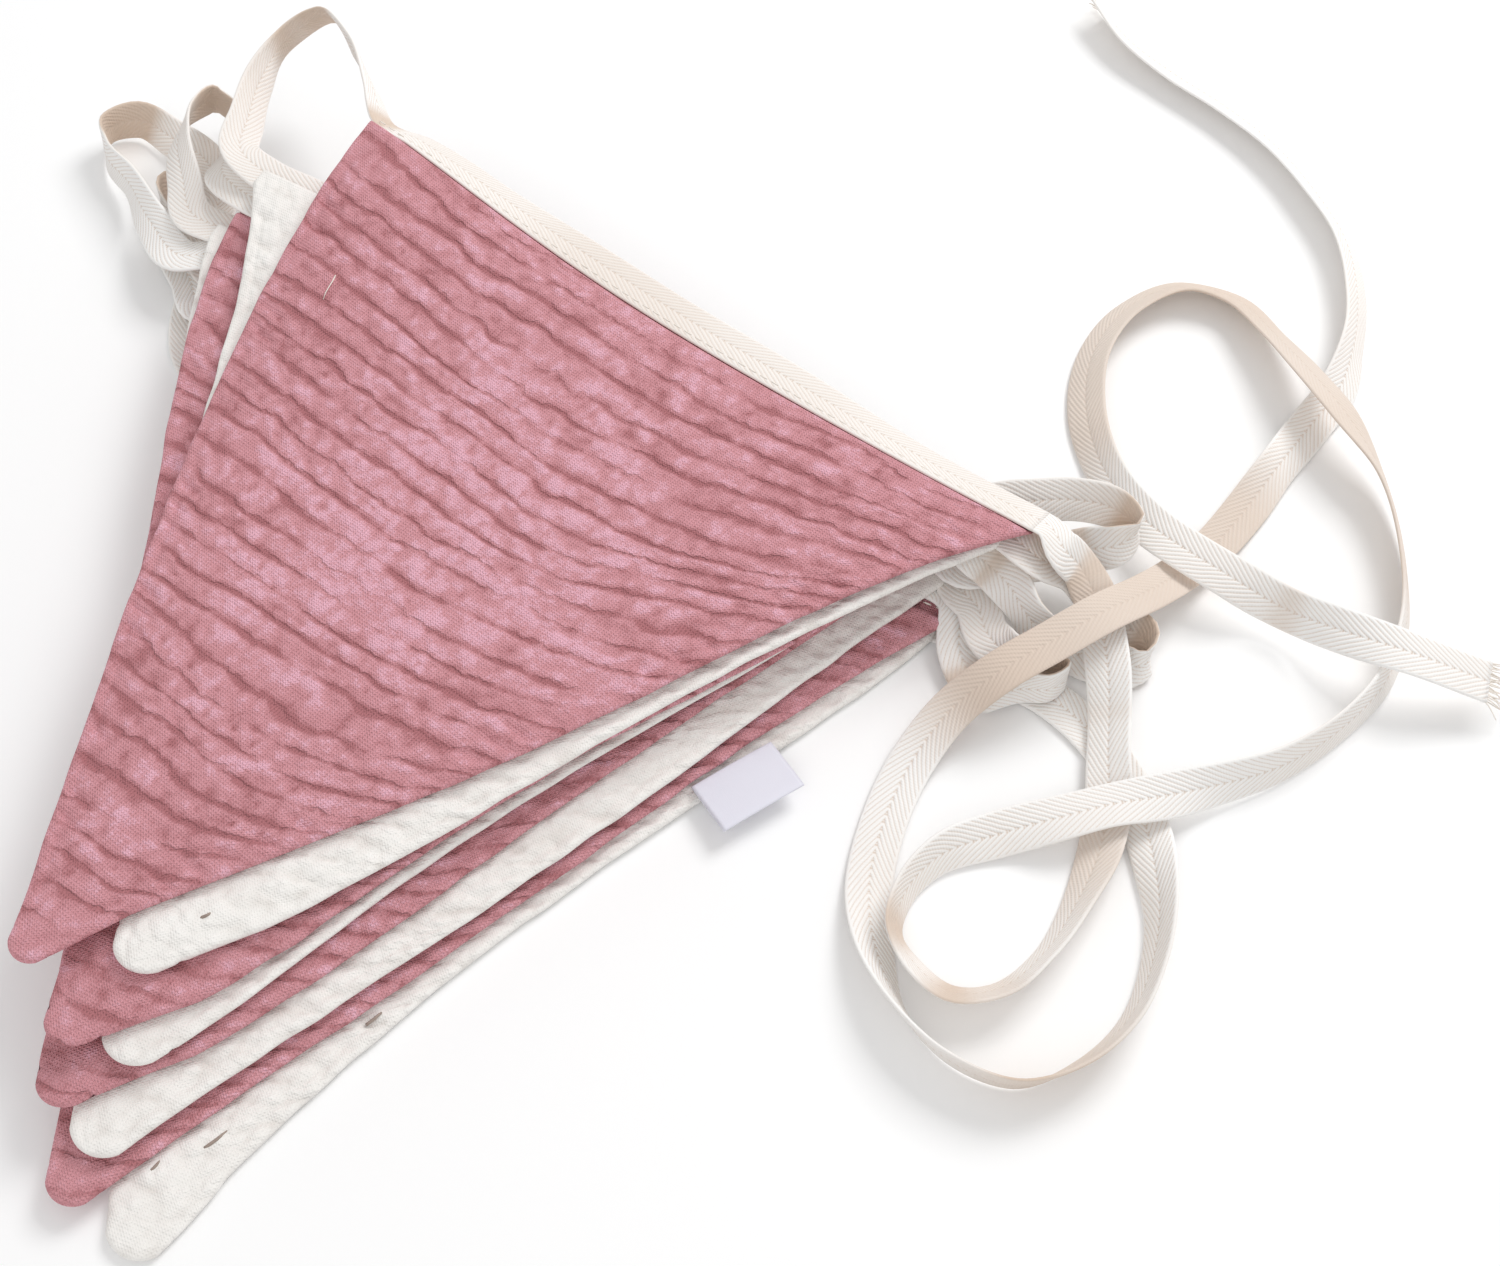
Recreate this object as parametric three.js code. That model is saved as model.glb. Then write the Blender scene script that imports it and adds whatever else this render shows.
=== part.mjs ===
// Fabric bunting, folded back and forth on a table: eight double gauze pennants,
// pink and white by turns, sewn along one herringbone tape that ends in two long ties.
// Millimetres, +Z up. The origin is on the table, under the middle of the lowest pennant.
import * as THREE from "three";
import { mergeVertices } from "three/addons/utils/BufferGeometryUtils.js";

// Pennants
const TIP_RADIUS = 4.5;
const CLOTH = 2.9; // two puffy layers, turned and pressed
const LAYER_GAP = 0.3;
const LAYER_PITCH = CLOTH + LAYER_GAP;
const SEAM_ALLOWANCE = 5; // cloth that runs on under the tape
const EDGE_ROUND = 1.1; // how far the faces draw in above and below the edge seam
const EDGE_PRESS = 0.5; // the pressed margin is this much lower than the middle
const EDGE_MARGIN = 9;
const RIM_RISE = 0.1; // the lowest pennant's rim over the table, between its corners
const STACK_WAVE = 0.11; // how much each layer lies unevenly on the one below

// Crinkle of the gauze: ridges side by side with the tape, sagging in the middle
const CRINKLE_DEPTH = 0.95;
const CRINKLE_SAG = 9;
const SEWN_GAP = 0.4; // between the tape and the cloth it is sewn to
const STITCH_STEP = 3; // the cloth rises to its full height this far below the tape
const SEAM_ROWS = 3; // rows of points down to there, which have no crinkle

// Tape and ties
const TAPE_WIDTH = 10;
const TAPE_THICKNESS = 1;
const STRIP_STEP = 13; // about this far from one section of the sewn tape to the next

// Label: a folded piece of satin, sewn to the side of the lowest pennant
const LABEL = { width: 20, depth: 13, thickness: 1, x: 71.5, y: -13, z: 4.2, turn: 33, tip: -4 };

const PINK = { color: "#c98591", roughness: 0.95, metalness: 0 };
const WHITE = { color: "#e6e3dc", roughness: 0.95, metalness: 0 };
const CREAM = { color: "#ebe3d8", roughness: 0.85, metalness: 0 };
const SATIN = { color: "#e9e8f2", roughness: 0.4, metalness: 0 };

// Columns across a pennant, as shares of its width: close together near its sides.
const TOP_COLUMNS = [0, 0.05, 0.12, 0.2, 0.28, 0.36, 0.44, 0.52, 0.6, 0.68, 0.76, 0.84, 0.93, 1];
const MIDDLE_COLUMNS = [0, 0.06, 0.14, 0.26, 0.42, 0.66, 0.88, 1];
const LOW_COLUMNS = [0, 0.1, 0.38, 0.64, 0.9, 1];

// One row a pennant, the top one first. x and y: the middle of its taped edge. turn: which
// way its point lies, in degrees from +X. width: its taped edge. length: from that edge to
// its point. sway: how far the point lies to one side. dip: how far the taped edge hangs
// in. lift: how high its far left corner stands. left, right: how far the sides bulge a
// quarter, a half and three quarters of the way down. pitch: from one ridge to the next.
const PENNANTS = [
  { name: "pennant_1", x: 56.5, y: 95.5, turn: -127.2, width: 190.5, length: 199.5, sway: -4.8, dip: 3.5, lift: 8,
    left: [8.8, 10.2, 5.4], right: [-3.3, 0.7, -0.5], pitch: 6.4, columns: TOP_COLUMNS, finish: PINK },
  { name: "pennant_2", x: 39, y: 87.5, turn: -120.6, width: 201, length: 176, sway: 5.5, dip: 0, lift: 5,
    left: [0.7, 4.2, 0.5], right: [-5.5, -3.8, -2.9], pitch: 7, columns: MIDDLE_COLUMNS, finish: WHITE },
  { name: "pennant_3", x: 31.5, y: 88.5, turn: -119.1, width: 191, length: 187, sway: 0, dip: 0, lift: 2.5,
    left: [5.5, 2, -1.5], right: [4.2, 1.5, 5], pitch: 9, columns: LOW_COLUMNS, finish: PINK },
  { name: "pennant_4", x: 28.5, y: 91.5, turn: -113.8, width: 191.5, length: 188, sway: 0.5, dip: 0, lift: 1.2,
    left: [2.3, 0.3, -0.5], right: [6.5, 0.2, -1.5], pitch: 9.6, columns: LOW_COLUMNS, finish: WHITE },
  { name: "pennant_5", x: 25, y: 81.5, turn: -116, width: 191, length: 190, sway: -2.5, dip: 0, lift: 0.6,
    left: [0, 0, 0], right: [0.5, 1, 3], pitch: 10, columns: LOW_COLUMNS, finish: PINK },
  { name: "pennant_6", x: 29, y: 77, turn: -115.9, width: 191, length: 189, sway: 0.5, dip: 0, lift: 0.3,
    left: [0, 0, 0], right: [1.1, 2.5, 1.7], pitch: 10.4, columns: LOW_COLUMNS, finish: WHITE },
  { name: "pennant_7", x: 30.5, y: 70, turn: -116.6, width: 191, length: 193, sway: -2.3, dip: 0, lift: 0,
    left: [0, 0, 0], right: [-3, -1.5, -1], pitch: 9.8, columns: LOW_COLUMNS, finish: PINK },
  { name: "pennant_8", x: 25, y: 61, turn: -112.4, width: 189, length: 186, sway: 4, dip: 0, lift: 0,
    left: [0, 0, 0], right: [-5, -8, -6], pitch: 9.4, columns: LOW_COLUMNS, finish: WHITE },
];
const LIFT_REACH = 60; // a lifted corner settles back over this distance

// The tape's free loops between the pennants' corners, and the two ties. x, y: where the
// middle of the tape passes. lift: the height of its lower edge over the table. roll: how
// far it is turned about its own length, in degrees, from flat with its left edge to the left.
const LOOPS = [
  [
    { x: -21, y: 162.5, lift: 31, roll: 110 },
    { x: -27, y: 181, lift: 28, roll: 95 },
    { x: -36, y: 193, lift: 25, roll: 85 },
    { x: -45.5, y: 189.5, lift: 21, roll: 75 },
    { x: -50.5, y: 175.5, lift: 20, roll: 55 },
    { x: -52, y: 161, lift: 20.8, roll: 35 },
    { x: -52.5, y: 151.5, lift: 22.8, roll: 12 },
  ],
  [
    { x: 134, y: 35.5, lift: 18, roll: 0 },
    { x: 141.5, y: 36, lift: 11.5, roll: 0 },
    { x: 148, y: 32.5, lift: 6.2, roll: 4 },
    { x: 153.5, y: 26, lift: 4, roll: 20 },
    { x: 158.5, y: 21, lift: 2, roll: 65 },
    { x: 158.5, y: 17, lift: 1, roll: 100 },
    { x: 151.5, y: 16.5, lift: 0.6, roll: 145 },
    { x: 144.5, y: 19.5, lift: 0.6, roll: 150 },
    { x: 137.5, y: 22.5, lift: 1, roll: 125 },
    { x: 132, y: 26.5, lift: 6, roll: 110 },
    { x: 128.5, y: 31.5, lift: 10.2, roll: 146 },
    { x: 124.5, y: 36, lift: 12.4, roll: 165 },
    { x: 120, y: 38.5, lift: 16.2, roll: 177 },
  ],
  [
    { x: -56, y: 146, lift: 18.6, roll: 168 },
    { x: -58.5, y: 164, lift: 9.6, roll: 135 },
    { x: -59.5, y: 176, lift: 7, roll: 102 },
    { x: -64.5, y: 180, lift: 8.5, roll: 85 },
    { x: -69.5, y: 173.5, lift: 10.6, roll: 72 },
    { x: -71, y: 163.5, lift: 11.6, roll: 50 },
    { x: -68, y: 150, lift: 12.9, roll: 28 },
    { x: -64, y: 138.5, lift: 14, roll: 5 },
  ],
  [
    { x: 121, y: 51.5, lift: 12.9, roll: 2 },
    { x: 127.5, y: 52.5, lift: 12.5, roll: 20 },
    { x: 135.5, y: 52.5, lift: 12, roll: 40 },
    { x: 144, y: 52.5, lift: 12, roll: 50 },
    { x: 153, y: 49.5, lift: 12, roll: 60 },
    { x: 157.5, y: 45, lift: 11, roll: 90 },
    { x: 153, y: 42, lift: 9, roll: 120 },
    { x: 146.5, y: 43, lift: 7, roll: 145 },
    { x: 136.5, y: 41, lift: 7.6, roll: 170 },
    { x: 125, y: 38.5, lift: 9.2, roll: 180 },
    { x: 118, y: 37.5, lift: 10.6, roll: 180 },
  ],
  [
    { x: -66, y: 128.5, lift: 10.7, roll: 177 },
    { x: -76, y: 141, lift: 7, roll: 145 },
    { x: -84.5, y: 157, lift: 3, roll: 112 },
    { x: -92.5, y: 171.5, lift: 1, roll: 102 },
    { x: -94.5, y: 181.5, lift: 0.8, roll: 90 },
    { x: -86.5, y: 185, lift: 0.8, roll: 66 },
    { x: -77, y: 178.5, lift: 0.9, roll: 38 },
    { x: -67, y: 166, lift: 4.6, roll: 12 },
    { x: -61, y: 152, lift: 6.8, roll: 3 },
    { x: -62.5, y: 141, lift: 6.8, roll: 0 },
    { x: -62.5, y: 133, lift: 6.7, roll: 0 },
    { x: -59, y: 127, lift: 6.5, roll: 0 },
  ],
  [
    { x: 118.5, y: 34.5, lift: 6.6, roll: 0 },
    { x: 122, y: 30, lift: 6.4, roll: 2 },
    { x: 123.5, y: 23.5, lift: 5.9, roll: 8 },
    { x: 129, y: 16, lift: 4.6, roll: 55 },
    { x: 136.5, y: 16, lift: 1.8, roll: 85 },
    { x: 140.5, y: 13, lift: 1.8, roll: 90 },
    { x: 137, y: 9.5, lift: 1.8, roll: 95 },
    { x: 130.5, y: 9.5, lift: 1.8, roll: 100 },
    { x: 123, y: 8.5, lift: 1.6, roll: 112 },
    { x: 120, y: 14, lift: 1.6, roll: 168 },
    { x: 118, y: 20.5, lift: 2.9, roll: 176 },
  ],
  [
    { x: -60.5, y: 117, lift: 5.1, roll: 180 },
    { x: -66, y: 128, lift: 3.2, roll: 180 },
    { x: -70.5, y: 136.5, lift: 1.6, roll: 168 },
    { x: -73.5, y: 143.5, lift: 0.6, roll: 132 },
    { x: -75.5, y: 150, lift: 0.8, roll: 100 },
    { x: -75.5, y: 155.5, lift: 0.6, roll: 75 },
    { x: -72, y: 159.5, lift: 0.6, roll: 12 },
    { x: -68, y: 152.5, lift: 0.6, roll: 6 },
    { x: -65.5, y: 143, lift: 0.6, roll: 4 },
    { x: -64.5, y: 128.5, lift: 0.5, roll: 3 },
    { x: -65, y: 115.5, lift: 0.5, roll: 0 },
    { x: -63.5, y: 107.5, lift: 0.4, roll: 0 },
  ],
];
const TIE_1 = [
  { x: 139.5, y: 36.5, lift: 20, roll: 0 },
  { x: 144, y: 35.5, lift: 13.6, roll: 4 },
  { x: 147.5, y: 30, lift: 9.6, roll: 6 },
  { x: 148.5, y: 20.5, lift: 8.6, roll: 12 },
  { x: 149, y: 12.5, lift: 6.8, roll: 20 },
  { x: 149, y: 4.5, lift: 3, roll: 30 },
  { x: 148, y: -6, lift: 1.9, roll: 28 },
  { x: 147.5, y: -15, lift: 1.7, roll: 8 },
  { x: 145, y: -26, lift: 0.5, roll: 22 },
  { x: 139, y: -39.5, lift: 0.3, roll: 50 },
  { x: 131, y: -51.5, lift: 0.3, roll: 60 },
  { x: 121.5, y: -59, lift: 0.3, roll: 55 },
  { x: 111.5, y: -59.5, lift: 0.3, roll: 50 },
  { x: 105, y: -54, lift: 0.3, roll: 55 },
  { x: 101, y: -46, lift: 0.3, roll: 68 },
  { x: 103.5, y: -37.5, lift: 0.3, roll: 68 },
  { x: 110, y: -30, lift: 0.3, roll: 60 },
  { x: 124, y: -24, lift: 1, roll: 30 },
  { x: 136.5, y: -21.5, lift: 5.2, roll: 6 },
  { x: 147, y: -19, lift: 6.6, roll: 0 },
  { x: 157.5, y: -17, lift: 4.8, roll: 20 },
  { x: 169.5, y: -13.5, lift: 1.5, roll: 50 },
  { x: 184, y: -8.5, lift: 0.3, roll: 68 },
  { x: 198, y: 0.5, lift: 0.3, roll: 75 },
  { x: 209.5, y: 12.5, lift: 0.3, roll: 70 },
  { x: 215.5, y: 25, lift: 0.3, roll: 70 },
  { x: 218.5, y: 42.5, lift: 0.3, roll: 70 },
  { x: 216.5, y: 65.5, lift: 3, roll: 60 },
  { x: 209.5, y: 81, lift: 8, roll: 28 },
  { x: 204, y: 92.5, lift: 7.5, roll: 28 },
  { x: 198, y: 108, lift: 3, roll: 35 },
  { x: 190, y: 122, lift: 0.3, roll: 35 },
  { x: 179, y: 125.5, lift: 0.3, roll: 40 },
  { x: 164.5, y: 118.5, lift: 0.3, roll: 40 },
  { x: 154.5, y: 104, lift: 0.3, roll: 40 },
  { x: 151.5, y: 87.5, lift: 0.3, roll: 35 },
  { x: 154, y: 69.5, lift: 0.5, roll: 45 },
  { x: 162, y: 51, lift: 5.5, roll: 30 },
  { x: 169, y: 42.5, lift: 8.4, roll: 20 },
  { x: 175.5, y: 37.5, lift: 8, roll: 22 },
  { x: 190.5, y: 29, lift: 3, roll: 52 },
  { x: 201.5, y: 20.5, lift: 8, roll: 35 },
  { x: 211.5, y: 15.5, lift: 11, roll: 12 },
  { x: 231, y: 10.5, lift: 6, roll: 8 },
];
const TIE_2 = [
  { x: 115, y: 21.5, lift: 0.2, roll: 0 },
  { x: 127, y: 17, lift: 0.2, roll: 0 },
  { x: 136.5, y: 11, lift: 0.2, roll: 0 },
  { x: 144.5, y: 3, lift: 0.2, roll: 0 },
  { x: 150.5, y: -7, lift: 0.2, roll: 0 },
  { x: 154.5, y: -19, lift: 0.2, roll: 5 },
  { x: 155.5, y: -31, lift: 0.3, roll: 35 },
  { x: 155.5, y: -40.5, lift: 0.3, roll: 55 },
  { x: 152.5, y: -54, lift: 0.3, roll: 65 },
  { x: 147, y: -65, lift: 0.3, roll: 68 },
  { x: 137, y: -74, lift: 0.3, roll: 70 },
  { x: 124, y: -78.5, lift: 0.3, roll: 78 },
  { x: 111, y: -73.5, lift: 0.3, roll: 80 },
  { x: 101.5, y: -63, lift: 0.3, roll: 70 },
  { x: 97, y: -49, lift: 0.3, roll: 35 },
  { x: 96.5, y: -34.5, lift: 0.3, roll: 5 },
  { x: 99.5, y: -21.5, lift: 0.3, roll: 0 },
  { x: 106.5, y: -6, lift: 1.5, roll: 0 },
  { x: 114.5, y: 3.5, lift: 6, roll: 0 },
  { x: 125, y: 9.5, lift: 12.8, roll: 0 },
  { x: 136, y: 15.5, lift: 15, roll: 0 },
  { x: 147, y: 22, lift: 16, roll: 0 },
  { x: 159, y: 31, lift: 11, roll: 0 },
  { x: 169.5, y: 41.5, lift: 4, roll: 0 },
  { x: 178.5, y: 51, lift: 0.8, roll: 0 },
  { x: 186, y: 60, lift: 0.3, roll: 8 },
  { x: 194, y: 70.5, lift: 0.3, roll: 30 },
  { x: 204.5, y: 84.5, lift: 0.3, roll: 10 },
  { x: 212, y: 94, lift: 0.3, roll: 25 },
  { x: 217, y: 106.5, lift: 0.3, roll: 50 },
  { x: 220.5, y: 124, lift: 0.3, roll: 48 },
  { x: 220, y: 141.5, lift: 0.3, roll: 45 },
  { x: 215.5, y: 156, lift: 0.3, roll: 40 },
  { x: 207.5, y: 173, lift: 0.3, roll: 35 },
  { x: 196.5, y: 187.5, lift: 0.3, roll: 30 },
  { x: 183.5, y: 200.5, lift: 0.3, roll: 30 },
  { x: 173.5, y: 211.5, lift: 0.3, roll: 40 },
  { x: 166.5, y: 224, lift: 0.3, roll: 55 },
];

const UP = new THREE.Vector3(0, 0, 1);
const radians = THREE.MathUtils.degToRad;
const clamp = THREE.MathUtils.clamp;
const lerp = THREE.MathUtils.lerp;
const smooth = THREE.MathUtils.smoothstep;

// The pennant's own directions on the table: across its taped edge and away from its point.
function directions(pennant) {
  const turn = radians(pennant.turn);
  const away = new THREE.Vector3(-Math.cos(turn), -Math.sin(turn), 0);
  const across = new THREE.Vector3(away.y, -away.x, 0);
  return { across, away };
}

function onTable(pennant, across, away) {
  const axes = directions(pennant);
  const inwards = pennant.dip * (1 - (2 * across / pennant.width) ** 2) * (1 - smooth(-away, 0, 90));
  return new THREE.Vector3(pennant.x, pennant.y, 0)
    .addScaledVector(axes.across, across)
    .addScaledVector(axes.away, away - Math.max(inwards, 0));
}

const LIFTED_CORNER = onTable(PENNANTS[0], -PENNANTS[0].width / 2, 0);

// A point of a pennant or its tape: its place on the table, and the height of the stack there.
function place(index, across, away, height) {
  const pennant = PENNANTS[index];
  const below = PENNANTS.length - 1 - index;
  const point = onTable(pennant, across, away);
  const distance = point.distanceTo(LIFTED_CORNER) / LIFT_REACH;
  const wave = 1 + Math.sin(point.x / 38 + 0.6) * Math.cos(point.y / 44);
  point.z = below * (LAYER_PITCH + STACK_WAVE * wave) + pennant.lift * Math.exp(-distance * distance) + height;
  return point;
}

// A smooth curve through nought at both ends and three bulges between them.
function bulge(share, [quarter, half, threeQuarters]) {
  const s = clamp(share, 0, 1);
  const first = (32 / 3) * quarter * s * (1 - s) * (1 - 2 * s) * (1.5 - 2 * s);
  const middle = 64 * half * s * (1 - s) * (s - 0.25) * (0.75 - s);
  const last = (32 / 3) * threeQuarters * s * (1 - s) * (2 * s - 1) * (2 * s - 0.5);
  return first + middle + last;
}

// Where the turned point's rounding begins and ends, measured from the taped edge.
function pointOf(pennant) {
  const slope = pennant.width / 2 / (pennant.length + TIP_RADIUS);
  const centre = pennant.length - TIP_RADIUS;
  return { end: pennant.length, centre, slope };
}

// The two sides of a pennant at a distance below its tape, with the turned point rounded.
function sides(pennant, below) {
  const { end, centre } = pointOf(pennant);
  const full = centre + TIP_RADIUS / Math.sin(Math.atan(pennant.width / 2 / end));
  const share = Math.max(below, 0) / full;
  const half = (pennant.width / 2) * (1 - share);
  const round = Math.sqrt(Math.max(TIP_RADIUS ** 2 - Math.max(below - centre, 0) ** 2, 0));
  const limit = below > centre ? round : Infinity;
  const fade = clamp((end - below) / 20, 0, 1);
  const middle = pennant.sway * share;
  return {
    left: middle - Math.min(half, limit) - bulge(share, pennant.left) * fade,
    right: middle + Math.min(half, limit) + bulge(share, pennant.right) * fade,
  };
}

// The rows of a pennant: the seam allowance, the step at the stitching, then one row for
// each ridge and each trough of the crinkle, and the turned point.
function rowsBelowTape(pennant) {
  const { end, centre } = pointOf(pennant);
  const rows = [-SEAM_ALLOWANCE, 0.4, STITCH_STEP];
  const step = pennant.pitch / 2;
  for (let below = STITCH_STEP + step; below < centre - step / 2; below += step) rows.push(below);
  rows.push(centre, centre + TIP_RADIUS * 0.6, end - 0.4);
  return rows;
}

// How deep the crinkle sinks here: little on a ridge, all of it in a trough.
function trough(index, row, share) {
  if (row < SEAM_ROWS) return 0;
  const uneven = 0.62 + 0.38 * Math.sin(7.3 * share + 1.7 * row + 2.9 * index);
  return (row + index) % 2 ? uneven : 0.18 * uneven;
}

// The lowest pennant lies flat, on its middle and its three corners; its rim turns up a little.
function restingRise(fromEdge, row, lastRow, share) {
  const corner = row === lastRow || (row === SEAM_ROWS - 1 && (share === 0 || share === 1));
  return corner ? 0 : RIM_RISE * (1 - smooth(fromEdge, 0, EDGE_MARGIN));
}

function pennantGeometry(index) {
  const pennant = PENNANTS[index];
  const rows = rowsBelowTape(pennant);
  const { end } = pointOf(pennant);
  const lastRow = rows.length - 1;
  const lastColumn = pennant.columns.length - 1;
  const lowest = index === PENNANTS.length - 1;
  const tapeOnTop = index % 2 === 0;
  const box = new THREE.BoxGeometry(1, 1, 1, lastColumn, lastRow, 2);
  const points = box.attributes.position;
  for (let i = 0; i < points.count; i += 1) {
    const share = pennant.columns[Math.round((points.getX(i) + 0.5) * lastColumn)];
    const row = Math.round((0.5 - points.getY(i)) * lastRow);
    const level = Math.round(points.getZ(i) * 2);
    const draw = level === 0 ? 0 : EDGE_ROUND;
    const ends = row === 0 ? draw : row === lastRow ? -draw * 0.3 : 0;
    const sag = row < SEAM_ROWS ? 0 : CRINKLE_SAG * 4 * share * (1 - share) * Math.sin((Math.PI * rows[row]) / end);
    const below = rows[row] + ends + Math.max(sag, 0);
    const { left, right } = sides(pennant, below);
    const inset = Math.min(draw, (right - left) * 0.35);
    const across = lerp(left + inset, right - inset, share);
    const fromEdge = Math.min(across - left, right - across, end - below + EDGE_ROUND);
    const margin = 1 - smooth(fromEdge, 0, EDGE_MARGIN);
    const fade = smooth(fromEdge, 3, EDGE_MARGIN * 1.6);
    const sink = EDGE_PRESS * margin + CRINKLE_DEPTH * trough(index, row, share) * fade;
    const taped = below < 1.5 ? TAPE_THICKNESS + SEWN_GAP : 0;
    const top = CLOTH - (tapeOnTop && taped ? taped : sink);
    const under = lowest ? restingRise(fromEdge, row, lastRow, share) : sink * 0.5;
    const bottom = !tapeOnTop && taped ? taped : under;
    const height = level === 0 ? (top + bottom) / 2 : level > 0 ? top : bottom;
    const point = place(index, across, -below, height);
    points.setXYZ(i, point.x, point.y, point.z);
  }
  return closed(box);
}

// A band of tape along a list of stations, each with its centre and its width direction.
function bandGeometry(stations) {
  const last = stations.length - 1;
  const box = new THREE.BoxGeometry(1, 1, 1, last, 1, 1);
  const points = box.attributes.position;
  const frames = stations.map((station, i) => {
    const before = stations[Math.max(i - 1, 0)].centre;
    const after = stations[Math.min(i + 1, last)].centre;
    const along = new THREE.Vector3().subVectors(after, before).normalize();
    const width = station.width.clone().addScaledVector(along, -station.width.dot(along)).normalize();
    return { centre: station.centre, width, face: new THREE.Vector3().crossVectors(along, width) };
  });
  for (let i = 0; i < points.count; i += 1) {
    const frame = frames[Math.round((points.getX(i) + 0.5) * last)];
    const point = frame.centre.clone()
      .addScaledVector(frame.width, points.getY(i) * TAPE_WIDTH)
      .addScaledVector(frame.face, points.getZ(i) * TAPE_THICKNESS);
    points.setXYZ(i, point.x, point.y, point.z);
  }
  return closed(box);
}

function closed(geometry) {
  geometry.deleteAttribute("normal");
  geometry.deleteAttribute("uv");
  const merged = mergeVertices(geometry, 1e-4);
  merged.computeVertexNormals();
  return merged;
}

// The tape's stations along a route of rows, between the stations it starts and ends at.
function routeStations(route, start = [], end = []) {
  const centres = route.map((row) => {
    const roll = radians(row.roll);
    const half = (TAPE_WIDTH / 2) * Math.abs(Math.sin(roll)) + (TAPE_THICKNESS / 2) * Math.abs(Math.cos(roll));
    return new THREE.Vector3(row.x, row.y, row.lift + half);
  });
  const path = [...start.map((s) => s.centre), ...centres, ...end.map((s) => s.centre)];
  return centres.map((centre, i) => {
    const here = i + start.length;
    const before = path[Math.max(here - 1, 0)];
    const after = path[Math.min(here + 1, path.length - 1)];
    const leftwards = new THREE.Vector3(before.y - after.y, after.x - before.x, 0).normalize();
    const roll = radians(route[i].roll);
    const width = leftwards.multiplyScalar(Math.cos(roll)).addScaledVector(UP, Math.sin(roll));
    return { centre, width };
  });
}

// The tape sewn along one pennant, from its right corner to its left one or back.
function stripStations(index) {
  const pennant = PENNANTS[index];
  const { away } = directions(pennant);
  const tapeOnTop = index % 2 === 0;
  const height = tapeOnTop ? CLOTH - TAPE_THICKNESS / 2 : TAPE_THICKNESS / 2;
  const stations = [];
  const last = Math.round(pennant.width / (index < 2 ? STRIP_STEP : 2 * STRIP_STEP));
  for (let step = 0; step <= last; step += 1) {
    const share = step / last - 0.5;
    const across = (tapeOnTop ? -share : share) * pennant.width;
    stations.push({ centre: place(index, across, TAPE_WIDTH / 2, height), width: away });
  }
  return stations;
}

function tapeGeometry() {
  const strips = PENNANTS.map((pennant, index) => stripStations(index));
  const stations = [...strips[0]];
  LOOPS.forEach((loop, index) => {
    const next = strips[index + 1];
    stations.push(...routeStations(loop, stations.slice(-1), next.slice(0, 1)), ...next);
  });
  return bandGeometry(stations);
}

function labelMesh() {
  const geometry = new THREE.BoxGeometry(LABEL.width, LABEL.depth, LABEL.thickness);
  const mesh = part("label", geometry, SATIN);
  mesh.rotation.order = "ZXY";
  mesh.rotation.set(radians(LABEL.tip), 0, radians(LABEL.turn));
  mesh.position.set(LABEL.x, LABEL.y, LABEL.z);
  return mesh;
}

function part(name, geometry, finish) {
  const mesh = new THREE.Mesh(geometry, new THREE.MeshStandardMaterial(finish));
  mesh.name = name;
  return mesh;
}

const bunting = new THREE.Group();
PENNANTS.forEach((pennant, index) => bunting.add(part(pennant.name, pennantGeometry(index), pennant.finish)));
bunting.add(part("tape", tapeGeometry(), CREAM));
bunting.add(part("tie_1", bandGeometry(routeStations(TIE_1)), CREAM));
bunting.add(part("tie_2", bandGeometry(routeStations(TIE_2)), CREAM));
bunting.add(labelMesh());

export default bunting;
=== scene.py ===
"""The dressed look of a fabric bunting, folded back and forth on a pale table.

Eight double gauze pennants, pink and white by turns, hang on one herringbone tape that
ends in two long ties. Places and sizes are in millimetres, as in the part's source, and
become metres where a mesh is written.
"""

import logging
import math
from dataclasses import dataclass, field
from enum import Enum, IntEnum
from functools import lru_cache

import bmesh
import bpy
import numpy as np
from mathutils import Matrix, Vector


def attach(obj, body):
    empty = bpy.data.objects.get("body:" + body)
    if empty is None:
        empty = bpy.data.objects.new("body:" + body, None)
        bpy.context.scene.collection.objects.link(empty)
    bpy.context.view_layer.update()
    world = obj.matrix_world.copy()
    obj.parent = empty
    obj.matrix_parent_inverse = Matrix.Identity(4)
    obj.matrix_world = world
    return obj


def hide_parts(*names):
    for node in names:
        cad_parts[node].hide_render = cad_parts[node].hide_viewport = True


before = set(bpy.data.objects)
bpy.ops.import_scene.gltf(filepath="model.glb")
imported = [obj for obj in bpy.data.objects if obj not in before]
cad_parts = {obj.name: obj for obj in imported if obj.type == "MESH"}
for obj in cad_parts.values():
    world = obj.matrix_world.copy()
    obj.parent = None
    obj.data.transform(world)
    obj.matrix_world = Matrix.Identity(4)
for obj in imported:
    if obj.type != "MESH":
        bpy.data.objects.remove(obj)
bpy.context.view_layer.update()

log = logging.getLogger("bunting")

Colour = tuple[float, float, float, float]
Route = tuple[tuple[float, float, float, float], ...]
Station = tuple[Vector, Vector]
Given = dict[str | int, object]
Socket = bpy.types.NodeSocket
Sockets = bpy.types.bpy_prop_collection

MM = 0.001
JOIN_DISTANCE = 2e-6
BODY = "root"

# Size of the table of random values, and how far each seed moves over it
LATTICE = 64
SEED_SHIFT = (0.37, 0.73)

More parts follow.
